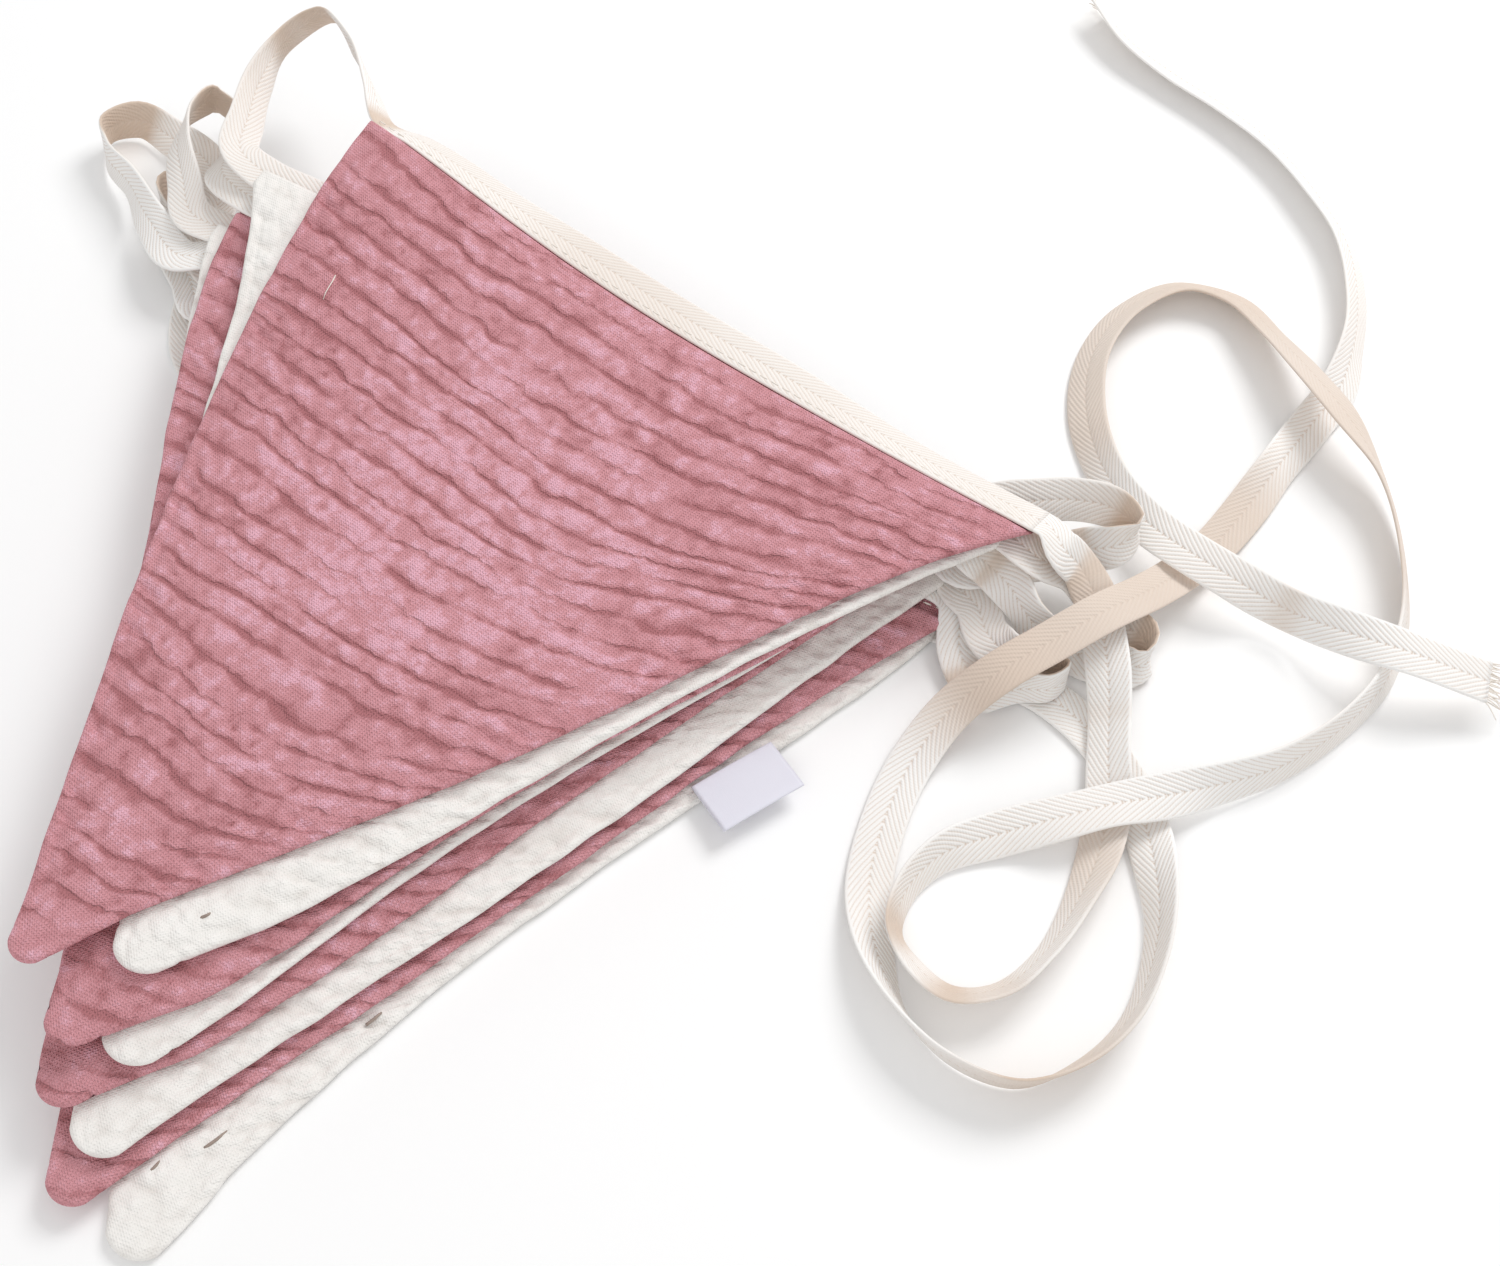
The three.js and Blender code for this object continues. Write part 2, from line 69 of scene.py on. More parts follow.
# The slab that each pennant fills in the stack
CLOTH = 2.9
LAYER_PITCH = 3.2
RIDGE_PITCH = 6.4
STACK_WAVE = 0.11
LIFT_REACH = 60.0
SEAM_ALLOWANCE = 5.0
STITCH_STEP = 3.0
UNDER_TAPE = 1.4
EDGE_ROUND = 1.5
EDGE_PRESS = 0.5
EDGE_MARGIN = 9.0
SEAM_LINE = 3.3
SEAM_HALF = 0.55
SEAM_DEPTH = 0.3
PUCKER_STEP = 6.2
PUCKER_HALF = 0.17
PUCKER_DEPTH = 0.75
RAGGED_STEP = 6.5
RAGGED_DEPTH = 0.3
LOWEST = 7

# Where the points lie beside a side, over the seam and round the turned point
MARGIN = (0.0, 0.1, 0.4, 0.85, 1.4, 2.2, 2.8, 3.3, 3.9, 5.4)
SEAM_ROWS = (-SEAM_ALLOWANCE, -4.7, -4.0, -2.5, -0.5, 0.4, 1.0, 1.7, 2.4)
TIP_ROWS = 12

TAPE_WIDTH = 10.0
TAPE_THICKNESS = 1.0
TAPE_STEP = 1.6
STRIP_STEP = 13.0
# Painted shade on the tape: the hollow side of a bend darkens over this range of bending, and the back face
# by REVERSE_SHADE.
HOLLOW_BEND = (0.02, 0.09)
REVERSE_SHADE = 0.15
BEIGE_FADE = 12
THREAD_SIDES = 6
OFF_AXIS = (0.31, 0.22, 0.92)

# Rows of a route: x, y, lift, roll
L12 = (
    (-20, 163, 27.2, 250), (-27, 180, 26.5, 264), (-36, 193, 25, 240), (-45, 189, 21, 262),
    (-50.5, 175.5, 20, 294), (-52, 161, 20.8, 314), (-52.5, 151.5, 22.8, 340),
)
L23 = (
    (134, 35.5, 18, 0), (141.5, 36, 11.5, 0), (148, 32.5, 6.2, 4), (153.5, 26, 4, 20),
    (158.5, 21, 2, 65), (158.5, 17, 1, 100), (151.5, 16.5, 0.6, 145), (144.5, 19.5, 0.6, 150),
    (137.5, 22.5, 1, 125), (132, 26.5, 6, 110), (128.5, 31.5, 10.2, 146), (124.5, 36, 12.4, 165),
    (120, 38.5, 16.2, 177),
)
L34 = (
    (-56, 146, 18.6, 168), (-58.5, 164, 9.6, 135), (-59.5, 176, 7, 102), (-64.5, 180, 8.5, 85),
    (-69.5, 173.5, 10.6, 72), (-71, 163.5, 11.6, 50), (-68, 150, 12.9, 28), (-64, 138.5, 14, 5),
)
L45 = (
    (121, 51.5, 12.9, 2), (127.5, 52.5, 12.5, 20), (135.5, 52.5, 12, 40), (144, 52.5, 12, 50),
    (153, 49.5, 12, 60), (157.5, 45, 11, 90), (153, 42, 9, 120), (146.5, 43, 7, 145),
    (136.5, 41, 7.6, 170), (125, 38.5, 9.2, 180), (118, 37.5, 10.6, 180),
)
L56 = (
    (-66, 128.5, 10.7, 177), (-76, 141, 7, 145), (-84.5, 157, 3, 112), (-92.5, 168.5, 1, 102),
    (-94, 177.5, 0.8, 90), (-86.5, 181, 0.8, 66), (-77, 175.5, 0.9, 38), (-67, 166, 4.6, 12),
    (-61, 152, 6.8, 3), (-62.5, 141, 6.8, 0), (-62.5, 133, 6.7, 0), (-59, 127, 6.5, 0),
)
L67 = (
    (118.5, 34.5, 6.6, 0), (122, 30, 6.4, 2), (123.5, 23.5, 5.9, 8), (129, 16, 4.6, 55),
    (136.5, 16, 1.8, 85), (140.5, 13, 1.8, 90), (137, 9.5, 1.8, 95), (130.5, 9.5, 1.8, 100),
    (123, 8.5, 1.6, 112), (120, 14, 1.6, 168), (118, 20.5, 2.9, 176),
)
L78 = (
    (-60.5, 117, 5.1, 180), (-66, 128, 3.2, 180), (-70.5, 136.5, 1.6, 168),
    (-73.5, 143.5, 0.6, 132), (-75.5, 150, 0.8, 100), (-75.5, 155.5, 0.6, 75),
    (-72, 159.5, 0.6, 12), (-68, 152.5, 0.6, 6), (-65.5, 143, 0.6, 4), (-64.5, 128.5, 0.5, 3),
    (-65, 115.5, 0.5, 0), (-63.5, 107.5, 0.4, 0),
)
LOOPS = (L12, L23, L34, L45, L56, L67, L78)
TIE_1 = (
    (139.5, 36.5, 20, 0), (144, 35.5, 13.6, 4), (147.5, 30, 9.6, 6), (148.5, 20.5, 8.6, 12),
    (149, 12.5, 6.8, 20), (149, 4.5, 3, 30), (148, -6, 1.9, 28), (147.5, -15, 1.7, 8),
    (145, -26, 0.5, 22), (139, -39.5, 0.3, 50), (131, -51.5, 0.3, 60), (121.5, -59, 0.3, 55),
    (111.5, -59.5, 0.3, 50), (105, -54, 0.3, 55), (101, -46, 0.3, 68), (103.5, -37.5, 0.3, 68),
    (110, -30, 0.3, 60), (124, -24, 1, 30), (136.5, -21.5, 5.2, 6), (147, -19, 6.6, 0),
    (157.5, -17, 4.8, 20), (169.5, -13.5, 1.5, 50), (184, -8.5, 0.3, 68), (198, 0.5, 0.3, 75),
    (209.5, 12.5, 0.3, 70), (215.5, 25, 0.3, 70), (218.5, 42.5, 0.3, 70), (216.5, 65.5, 3, 60),
    (209.5, 81, 8, 28), (204, 92.5, 7.5, 28), (198, 108, 3, 35), (190, 122, 0.3, 35),
    (179, 125.5, 0.3, 40), (164.5, 118.5, 0.3, 40), (154.5, 104, 0.3, 40), (151.5, 87.5, 0.3, 35),
    (154, 69.5, 0.5, 45), (162, 51, 5.5, 30), (169, 42.5, 8.4, 20), (175.5, 37.5, 8, 22),
    (190.5, 29, 3, 52), (201.5, 20.5, 8, 35), (211.5, 15.5, 11, 12), (231, 10.5, 6, 8),
)
TIE_2 = (
    (127, 17, 0.2, 0), (136.5, 11, 0.2, 0), (144.5, 3, 0.2, 0),
    (150.5, -7, 0.2, 0), (154.5, -19, 0.2, 5), (155.5, -31, 0.3, 35), (155.5, -40.5, 0.3, 55),
    (152.5, -54, 0.3, 65), (147, -65, 0.3, 68), (137, -74, 0.3, 70), (124, -78.5, 0.3, 78),
    (111, -73.5, 0.3, 80), (101.5, -63, 0.3, 70), (97, -49, 0.3, 35), (96.5, -34.5, 0.3, 5),
    (99.5, -21.5, 0.3, 0), (106.5, -6, 1.5, 0), (114.5, 3.5, 6, 0), (125, 9.5, 12.8, 0),
    (136, 15.5, 15, 0), (147, 22, 16, 0), (159, 31, 11, 0), (169.5, 41.5, 4, 0),
    (178.5, 51, 0.8, 0), (186, 60, 0.3, 8), (194, 70.5, 0.3, 30), (204.5, 84.5, 0.3, 10),
    (212, 94, 0.3, 25), (217, 106.5, 0.3, 50), (220.5, 124, 0.3, 48), (220, 141.5, 0.3, 45),
    (215.5, 156, 0.3, 40), (207.5, 173, 0.3, 35), (196.5, 187.5, 0.3, 30),
    (183.5, 200.5, 0.3, 30), (173.5, 211.5, 0.3, 40), (166.5, 224, 0.3, 55),
)


class Gauze(Enum):
    """The two colours of double gauze."""

    PINK = "pink_gauze"
    WHITE = "white_gauze"


class Front(Enum):
    """Which side of a tape's run its front is on; the back face is tinted darker as painted shade."""

    LEFT_HAND = 1
    RIGHT_HAND = -1


class Chance(IntEnum):
    """First seed of each kind of unevenness: each pennant under the top one counts on."""

    CRINKLE = 7
    LEFT_SIDE = 40
    RIGHT_SIDE = 50
    SHADE = 70
    SEAM = 90
    PUCKER = 110
    PUCKERED = 120


def smooth(value: np.ndarray, low: float, high: float) -> np.ndarray:
    """Smooth step from 0 at low to 1 at high."""
    share = np.clip((value - low) / (high - low), 0.0, 1.0)
    return share * share * (3.0 - 2.0 * share)


@lru_cache(maxsize=64)
def lattice(seed: int) -> np.ndarray:
    """A square of seeded random values from -1 to 1."""
    return np.random.default_rng(seed).uniform(-1.0, 1.0, (LATTICE, LATTICE))


def uneven(x: np.ndarray, y: np.ndarray, seed: int) -> np.ndarray:
    """Smooth seeded unevenness over a plane, about one hill for each unit of x and y.

    Args:
        x: Places along the first direction.
        y: Places along the second direction.
        seed: Which unevenness.

    Returns:
        Values from -1 to 1.
    """
    x, y = np.broadcast_arrays(x + SEED_SHIFT[0] * seed, y + SEED_SHIFT[1] * seed)
    column, row = np.floor(x).astype(int), np.floor(y).astype(int)
    right, down = smooth(x - column, 0.0, 1.0), smooth(y - row, 0.0, 1.0)
    table = lattice(seed)
    left_column, right_column = column % LATTICE, (column + 1) % LATTICE
    upper_row, lower_row = row % LATTICE, (row + 1) % LATTICE
    first, second = table[upper_row, left_column], table[upper_row, right_column]
    third, fourth = table[lower_row, left_column], table[lower_row, right_column]
    return (first + (second - first) * right) * (1 - down) + (third + (fourth - third) * right) * down


@dataclass
class Surface:
    """A sheet of points in rows and columns, in millimetres.

    Attributes:
        points: Rows by columns by 3.
        flat: Rows by columns by 2: where each point is on the flat cloth.
        tone: Rows by columns, from 0 to 1: what the finish tints by, mostly painted light and shade.
        ridges: Rows by columns by 2: the same as flat, but measured along the ridge lines.
    """

    points: np.ndarray
    flat: np.ndarray
    tone: np.ndarray
    ridges: np.ndarray | None = None

    def add_to(self, bm: bmesh.types.BMesh) -> None:
        """Lays a grid of faces over the points.

        Args:
            bm: The mesh that it is added to.
        """
        rows, columns = self.tone.shape
        first = len(bm.verts)
        tone_layer = bm.verts.layers.float.get("tone") or bm.verts.layers.float.new("tone")
        flat_layer = bm.loops.layers.uv.get("flat") or bm.loops.layers.uv.new("flat")
        ridge_layer = bm.loops.layers.uv.get("ridges") or bm.loops.layers.uv.new("ridges")
        first_face = len(bm.faces)
        bmesh.ops.create_grid(bm, x_segments=columns - 1, y_segments=rows - 1, size=0.5)
        bm.verts.ensure_lookup_table()
        bm.faces.ensure_lookup_table()
        bm.verts.index_update()
        points = (self.points.reshape(-1, 3) * MM).tolist()
        flat = (self.flat.reshape(-1, 2) * MM).tolist()
        ridges = flat if self.ridges is None else (self.ridges.reshape(-1, 2) * MM).tolist()
        tones = self.tone.reshape(-1).tolist()
        for vert, point, tone in zip(bm.verts[first:], points, tones):
            vert.co = point
            vert[tone_layer] = tone
        for face in bm.faces[first_face:]:
            face.smooth = True
            for loop in face.loops:
                loop[flat_layer].uv = flat[loop.vert.index - first]
                loop[ridge_layer].uv = ridges[loop.vert.index - first]


def closed_mesh(name: str, surfaces: list[Surface]) -> bpy.types.Object:
    """Joins sheets along the edges they share into one closed object.

    Args:
        name: The piece's name.
        surfaces: The sheets that close it between them.

    Returns:
        The object, at the origin.
    """
    bm = bmesh.new()
    for surface in surfaces:
        surface.add_to(bm)
    bmesh.ops.remove_doubles(bm, verts=bm.verts, dist=JOIN_DISTANCE)
    open_edges = [edge for edge in bm.edges if edge.is_boundary]
    if open_edges:
        bmesh.ops.holes_fill(bm, edges=open_edges, sides=0)
    bmesh.ops.recalc_face_normals(bm, faces=bm.faces)
    return object_of(name, bm)


def object_of(name: str, bm: bmesh.types.BMesh) -> bpy.types.Object:
    """Turns a bmesh into an object that rides on the bunting's body.

    Args:
        name: The piece's name.
        bm: Its mesh, which is freed.

    Returns:
        The object, at the origin.
    """
    mesh = bpy.data.meshes.new(name)
    bm.to_mesh(mesh)
    bm.free()
    piece = bpy.data.objects.new(name, mesh)
    bpy.context.scene.collection.objects.link(piece)
    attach(piece, BODY)
    return piece


class NodeTree:
    """A short way to place shader nodes and join them."""

    def __init__(self, tree: bpy.types.NodeTree) -> None:
        """Starts from an empty tree."""
        self.tree = tree
        tree.nodes.clear()

    def add(self, kind: str, given: Given | None = None, **values: object) -> bpy.types.Node:
        """Adds a node, sets its properties and feeds its inputs.

        Args:
            kind: The node's type name, without the ShaderNode in front.
            given: An output or a plain value for each input, by its name or number.
            values: Properties of the node.

        Returns:
            The new node.
        """
        node = self.tree.nodes.new(kind if kind.startswith("NodeGroup") else f"ShaderNode{kind}")
        for name, value in values.items():
            setattr(node, name, value)
        for name, value in (given or {}).items():
            self.feed(node.inputs[name], value)
        return node

    def feed(self, socket: Socket, value: object) -> None:
        """Links an output to a socket, or sets the socket's own value.

        Args:
            socket: The input.
            value: An output, or a plain value.
        """
        if isinstance(value, Socket):
            self.tree.links.new(value, socket)
        else:
            socket.default_value = value

    def math(self, operation: str, *values: object) -> Socket:
        """A Math node's output for up to three values."""
        return self.add("Math", dict(enumerate(values)), operation=operation).outputs[0]

    def noise(self, vector: Socket, scale: float, detail: float) -> Socket:
        """A noise texture's value at a place."""
        return self.add("TexNoise", {"Vector": vector, "Scale": scale, "Detail": detail}).outputs["Fac"]

    def mix(self, share: object, first: object, second: object) -> Socket:
        """A colour between two colours."""
        return self.add("Mix", {"Factor": share, 6: first, 7: second}, data_type="RGBA").outputs[2]

    def ramp(self, share: object, low: float, high: float) -> Socket:
        """0 below low, 1 above high, and smooth between them."""
        given = {"Value": share, "From Min": low, "From Max": high}
        return self.add("MapRange", given, interpolation_type="SMOOTHSTEP").outputs["Result"]

    def bump(self, height: object, distance: float, strength: float) -> Socket:
        """A normal raised by a height."""
        given = {"Height": height, "Distance": distance, "Strength": strength}
        return self.add("Bump", given).outputs["Normal"]

    def weighted(self, *terms: tuple[Socket, float]) -> Socket:
        """Adds outputs up, each times its own weight.

        Args:
            terms: Each output and its weight.

        Returns:
            Their sum.
        """
        total = None
        for value, weight in terms:
            term = value if weight == 1 else self.math("MULTIPLY", value, weight)
            total = term if total is None else self.math("ADD", total, term)
        return total

    def places(self, uv_map: str) -> Socket:
        """Places on one of the piece's own maps."""
        return self.add("UVMap", uv_map=uv_map).outputs[0]

    def parts(self, vector: Socket) -> list[Socket]:
        """The X, Y and Z of a place."""
        return list(self.add("SeparateXYZ", {0: vector}).outputs)


@dataclass(frozen=True)
class SharedEffect:
    """A shader node group, built once and placed in each finish that uses it.

    Attributes:
        name: The group's name.
        takes: Names and kinds of its inputs.
        gives: Names of its outputs.
    """

    name: str
    takes: tuple[tuple[str, str], ...]
    gives: tuple[str, ...]

    def fill(self, net: NodeTree, given: Sockets, out: Sockets) -> None:
        """Each effect has its own nodes."""
        raise NotImplementedError

    def group(self) -> bpy.types.NodeTree:
        """The node group, built once.

        Returns:
            The group, for a Group node.
        """
        made = bpy.data.node_groups.get(self.name)
        if made is None:
            made = bpy.data.node_groups.new(self.name, "ShaderNodeTree")
            for name, kind in self.takes:
                made.interface.new_socket(name, in_out="INPUT", socket_type=f"NodeSocket{kind}")
            for name in self.gives:
                made.interface.new_socket(name, in_out="OUTPUT", socket_type="NodeSocketFloat")
            net = NodeTree(made)
            self.fill(net, net.add("NodeGroupInput").outputs, net.add("NodeGroupOutput").inputs)
        return made

    def place(self, net: NodeTree, given: dict[str, object]) -> Sockets:
        """Places the group among a finish's nodes."""
        return net.add("Group", given, node_tree=self.group()).outputs


@dataclass(frozen=True)
class PlainWeave(SharedEffect):
    """Threads over and under each other, with small holes between them.

    Attributes:
        drift_scale: How closely the threads' wandering varies.
        weft_weight: How much the weft stands out by itself.
        hole_edge: Where the edge of a hole begins on a thread's wave.
    """

    name: str = "plain_weave"
    takes: tuple[tuple[str, str], ...] = (("Flat", "Vector"), ("Threads", "Float"), ("Slack", "Float"))
    gives: tuple[str, ...] = ("Height", "Holes")
    drift_scale: float = 260.0
    weft_weight: float = 0.55
    hole_edge: float = -0.35

    def fill(self, net: NodeTree, given: Sockets, out: Sockets) -> None:
        """Crosses two rows of threads, moved a little so that none runs straight.

        Args:
            net: The group's nodes.
            given: Its inputs.
            out: Its outputs.
        """
        drift = net.add("TexNoise", {"Vector": given["Flat"], "Scale": self.drift_scale}).outputs["Color"]
        slack = net.add("VectorMath", {0: drift, "Scale": given["Slack"]}, operation="SCALE").outputs[0]
        moved = net.add("VectorMath", {0: given["Flat"], 1: slack}, operation="ADD").outputs[0]
        waves = []
        for place in net.parts(moved)[:2]:
            turns = net.math("MULTIPLY", place, given["Threads"])
            waves.append(net.math("SINE", net.math("MULTIPLY", turns, 2 * math.pi)))
        over = net.math("MULTIPLY", waves[0], waves[1])
        net.feed(out["Height"], net.weighted((over, 1), (waves[1], self.weft_weight)))
        holes = [net.ramp(wave, self.hole_edge, -1.0) for wave in waves]
        net.feed(out["Holes"], net.math("MULTIPLY", *holes))


@dataclass(frozen=True)
class Creases(SharedEffect):
    """Thin broken creases along the troughs, and the small puffs of cloth between them.

    Attributes:
        puff_scale: How small the puffs are.
        break_scale: How closely the creases come and go.
        jag: How far a crease strays, as a share of the pitch.
        line_half: Half the width of a crease, as a share of the pitch.
    """

    name: str = "gauze_creases"
    takes: tuple[tuple[str, str], ...] = (("Ridges", "Vector"), ("Pitch", "Float"))
    gives: tuple[str, ...] = ("Lines", "Puffs")
    puff_scale: float = 330.0
    break_scale: float = 85.0
    jag: float = 0.55
    line_half: float = 0.13

    def fill(self, net: NodeTree, given: Sockets, out: Sockets) -> None:
        """Draws a jagged line in each trough and round puffs everywhere.

        Args:
            net: The group's nodes.
            given: Its inputs.
            out: Its outputs.
        """
        place = given["Ridges"]
        jag = net.math("SUBTRACT", net.noise(place, self.puff_scale, 2.5), 0.5)
        phase = net.math("ADD", net.math("DIVIDE", net.parts(place)[1], given["Pitch"]), 0.5)
        phase = net.weighted((phase, 1), (jag, self.jag))
        off = net.math("ABSOLUTE", net.math("SUBTRACT", net.math("FRACT", phase), 0.5))
        present = net.ramp(net.noise(place, self.break_scale, 1.0), 0.34, 0.56)
        net.feed(out["Lines"], net.math("MULTIPLY", net.ramp(off, self.line_half, 0.01), present))
        given_to = {"Vector": place, "Scale": self.puff_scale, "Smoothness": 0.35}
        cells = net.add("TexVoronoi", given_to, feature="SMOOTH_F1")
        net.feed(out["Puffs"], net.math("SUBTRACT", 0.5, cells.outputs["Distance"]))


@dataclass(frozen=True)
class Finish:
    """A material that is made once, with one shader.

    Attributes:
        name: The finish's own name, which its material is named after.
    """

    name: str

    def dress(self, net: NodeTree, shader: bpy.types.Node) -> None:
        """Each finish has its own nodes."""
        raise NotImplementedError

    def material(self) -> bpy.types.Material:
        """The material, made once.

        Returns:
            The material, for a piece's mesh.
        """
        made = bpy.data.materials.get(f"woven_{self.name}")
        if made is None:
            made = bpy.data.materials.new(f"woven_{self.name}")
            made.use_nodes = True
            net = NodeTree(made.node_tree)
            shader = net.add("BsdfPrincipled")
            net.add("OutputMaterial", {"Surface": shader.outputs[0]})
            self.dress(net, shader)
        return made


@dataclass(frozen=True)
class GauzeFinish(Finish):
    """Crinkled double gauze, matt, with a soft nap.

    Attributes:
        crest: Colour of the painted highlight on the ridges and puffs.
        middle: Colour between.
        trough: Colour of the painted shade deep in a trough and in the holes of the weave.
        nap: Colour of the fluff at a slant.
        nap_weight: How much of it shows.
        relief: Height of the finest crumples, in metres.
        openness: How much of the dark between the threads shows.
        creased: How strong its thin creases are, in relief and in their painted shade.
        threads: Threads in a metre.
        slack: How far a thread strays, in metres.
        scales: How small the mottling, the specks and the crumples are.
    """

    crest: Colour
    middle: Colour
    trough: Colour
    nap: Colour
    nap_weight: float
    relief: float
    openness: float
    creased: float
    threads: float = 1450.0
    slack: float = 0.0004
    scales: tuple[float, float, float] = (380.0, 1500.0, 700.0)

    def dress(self, net: NodeTree, shader: bpy.types.Node) -> None:
        """Tints by painted light and shade, lighter on the ridges and puffs and darker in the creases,
        troughs and weave holes, and raises the fine crumples.

        Args:
            net: The material's nodes.
            shader: Its shader.
        """
        flat = net.places("flat")
        tone = net.add("Attribute", attribute_name="tone").outputs["Fac"]
        weave = PlainWeave().place(net, {"Flat": flat, "Threads": self.threads, "Slack": self.slack})
        creases = Creases().place(net, {"Ridges": net.places("ridges"), "Pitch": RIDGE_PITCH * MM})
        lines = net.math("MULTIPLY", creases["Lines"], self.creased)
        mottle = net.math("SUBTRACT", net.noise(flat, self.scales[0], 2.0), 0.5)
        specks = net.math("SUBTRACT", net.noise(flat, self.scales[1], 1.0), 0.5)
        # Painted light and shade: the tone and the puffs lighten the colour, the creases darken it.
        lit = net.weighted(
            (tone, 1), (mottle, 0.5), (specks, 0.7 * self.openness), (lines, -0.28), (creases["Puffs"], 0.5),
        )
        low = net.mix(net.ramp(lit, 0.1, 0.75), self.trough, self.middle)
        colour = net.mix(net.ramp(lit, 0.7, 1.15), low, self.crest)
        # Painted shade: the holes between the threads take the trough colour.
        holes = net.math("MULTIPLY", weave["Holes"], self.openness)
        net.feed(shader.inputs["Base Color"], net.mix(holes, colour, self.trough))
        shader.inputs["Roughness"].default_value = 0.95
        shader.inputs["Specular IOR Level"].default_value = 0.1
        shader.inputs["Sheen Weight"].default_value = self.nap_weight
        shader.inputs["Sheen Roughness"].default_value = 0.5
        shader.inputs["Sheen Tint"].default_value = self.nap
        thread_height = 0.04 + 0.09 * self.openness
        crumples = net.noise(flat, self.scales[2], 3.0)
        height = net.weighted(
            (lines, -0.4), (creases["Puffs"], 0.9), (crumples, 0.35), (weave["Height"], thread_height),
        )
        net.feed(shader.inputs["Normal"], net.bump(height, self.relief, 1.0))


@dataclass(frozen=True)
class TapeFinish(Finish):
    """Natural cotton herringbone tape.

    Attributes:
        ridge: Colour of the raised threads.
        groove: Colour between them.
        warm_shade: Colour of the painted shade in the hollow of a bend, on the back face and along shaded
            stretches; random stains tint towards it too.
        pitch: Distance between two lines along the tape, in metres.
        slant: How far a line runs along the tape for each step across it.
        thread: Distance between two threads along the tape, in metres.
        selvedge: Where the plain selvedge starts and ends, from the middle, in metres.
        relief: Height of the lines, in metres.
    """

    name: str = "herringbone_tape"
    ridge: Colour = (0.94, 0.925, 0.905, 1)
    groove: Colour = (0.70, 0.58, 0.49, 1)
    warm_shade: Colour = (0.68, 0.55, 0.45, 1)
    pitch: float = 0.0019
    slant: float = 1.75
    thread: float = 0.00062
    selvedge: tuple[float, float] = (0.0043, 0.0047)
    relief: float = 0.000045

    def dress(self, net: NodeTree, shader: bpy.types.Node) -> None:
        """Draws slanted lines that meet at the tape's middle.

        Args:
            net: The material's nodes.
            shader: Its shader.
        """
        flat = net.places("flat")
        tone = net.add("Attribute", attribute_name="tone").outputs["Fac"]
        along, across, _ = net.parts(flat)
        off_spine = net.math("ABSOLUTE", across)
        run = net.weighted((along, 1), (net.noise(flat, 300.0, 2.0), 0.0006), (off_spine, self.slant))
        line = net.math("SINE", net.math("MULTIPLY", run, 2 * math.pi / self.pitch))
        thread = net.math("SINE", net.math("MULTIPLY", along, 2 * math.pi / self.thread))
        spine = net.ramp(off_spine, 0.00045, 0.0)
        twill = net.math("MULTIPLY", line, net.math("SUBTRACT", 1.0, net.ramp(off_spine, *self.selvedge)))
        height = net.weighted((twill, 1), (thread, 0.25), (spine, -1))
        dashes = net.math("MULTIPLY_ADD", thread, 0.35, 0.6)
        groove = net.math("MULTIPLY", net.ramp(height, -0.2, -1.0), dashes)
        # Painted shade: where the tone is low the ground colour goes towards warm_shade; the noise adds
        # random stains.
        stained = net.ramp(net.noise(flat, 14.0, 1.0), 0.42, 0.68)
        shaded_beige = net.weighted((net.math("SUBTRACT", 1.0, tone), 1), (stained, 0.2))
        ground = net.mix(net.math("MINIMUM", shaded_beige, 1.0), self.ridge, self.warm_shade)
        net.feed(shader.inputs["Base Color"], net.mix(groove, ground, self.groove))
        shader.inputs["Roughness"].default_value = 0.8
        shader.inputs["Specular IOR Level"].default_value = 0.2
        shader.inputs["Sheen Weight"].default_value = 0.15
        net.feed(shader.inputs["Normal"], net.bump(height, self.relief, 1.0))


@dataclass(frozen=True)
class SatinFinish(Finish):
    """Smooth woven satin of the blank label.

    Attributes:
        colour: Its lighter colour.
        shade: Its darker colour.
        threads: Threads in a metre.
        slack: How far a thread strays, in metres.
        relief: Height of the weave, in metres.
    """

    name: str = "label_satin"
    colour: Colour = (0.77, 0.765, 0.85, 1)
    shade: Colour = (0.70, 0.70, 0.79, 1)
    threads: float = 3600.0
    slack: float = 0.00005
    relief: float = 0.00002

    def dress(self, net: NodeTree, shader: bpy.types.Node) -> None:
        """Lays a fine weave under a soft shine.

        Args:
            net: The material's nodes.
            shader: Its shader.
        """
        flat = net.places("flat")
        weave = PlainWeave().place(net, {"Flat": flat, "Threads": self.threads, "Slack": self.slack})
        uneven_shade = net.math("MULTIPLY", net.noise(flat, 300.0, 2.0), 0.25)
        net.feed(shader.inputs["Base Color"], net.mix(uneven_shade, self.colour, self.shade))
        shader.inputs["Roughness"].default_value = 0.42
        net.feed(shader.inputs["Normal"], net.bump(weave["Height"], self.relief, 0.6))


@dataclass(frozen=True)
class ThreadFinish(Finish):
    """Sewing thread and loose ends.

    Attributes:
        colour: Its lighter colour.
        shade: Its darker colour.
        grain_scale: How fine its grain is.
        relief: Height of the grain, in metres.
    """

    name: str = "thread"
    colour: Colour = (0.88, 0.83, 0.77, 1)
    shade: Colour = (0.76, 0.69, 0.62, 1)
    grain_scale: float = 1500.0
    relief: float = 0.0001

    def dress(self, net: NodeTree, shader: bpy.types.Node) -> None:
        """Gives the thread a fine grain.

        Args:
            net: The material's nodes.
            shader: Its shader.
        """
        grain = net.noise(net.add("TexCoord").outputs["Object"], self.grain_scale, 2.0)
        net.feed(shader.inputs["Base Color"], net.mix(grain, self.colour, self.shade))
        shader.inputs["Roughness"].default_value = 0.7
        net.feed(shader.inputs["Normal"], net.bump(grain, self.relief, 0.5))


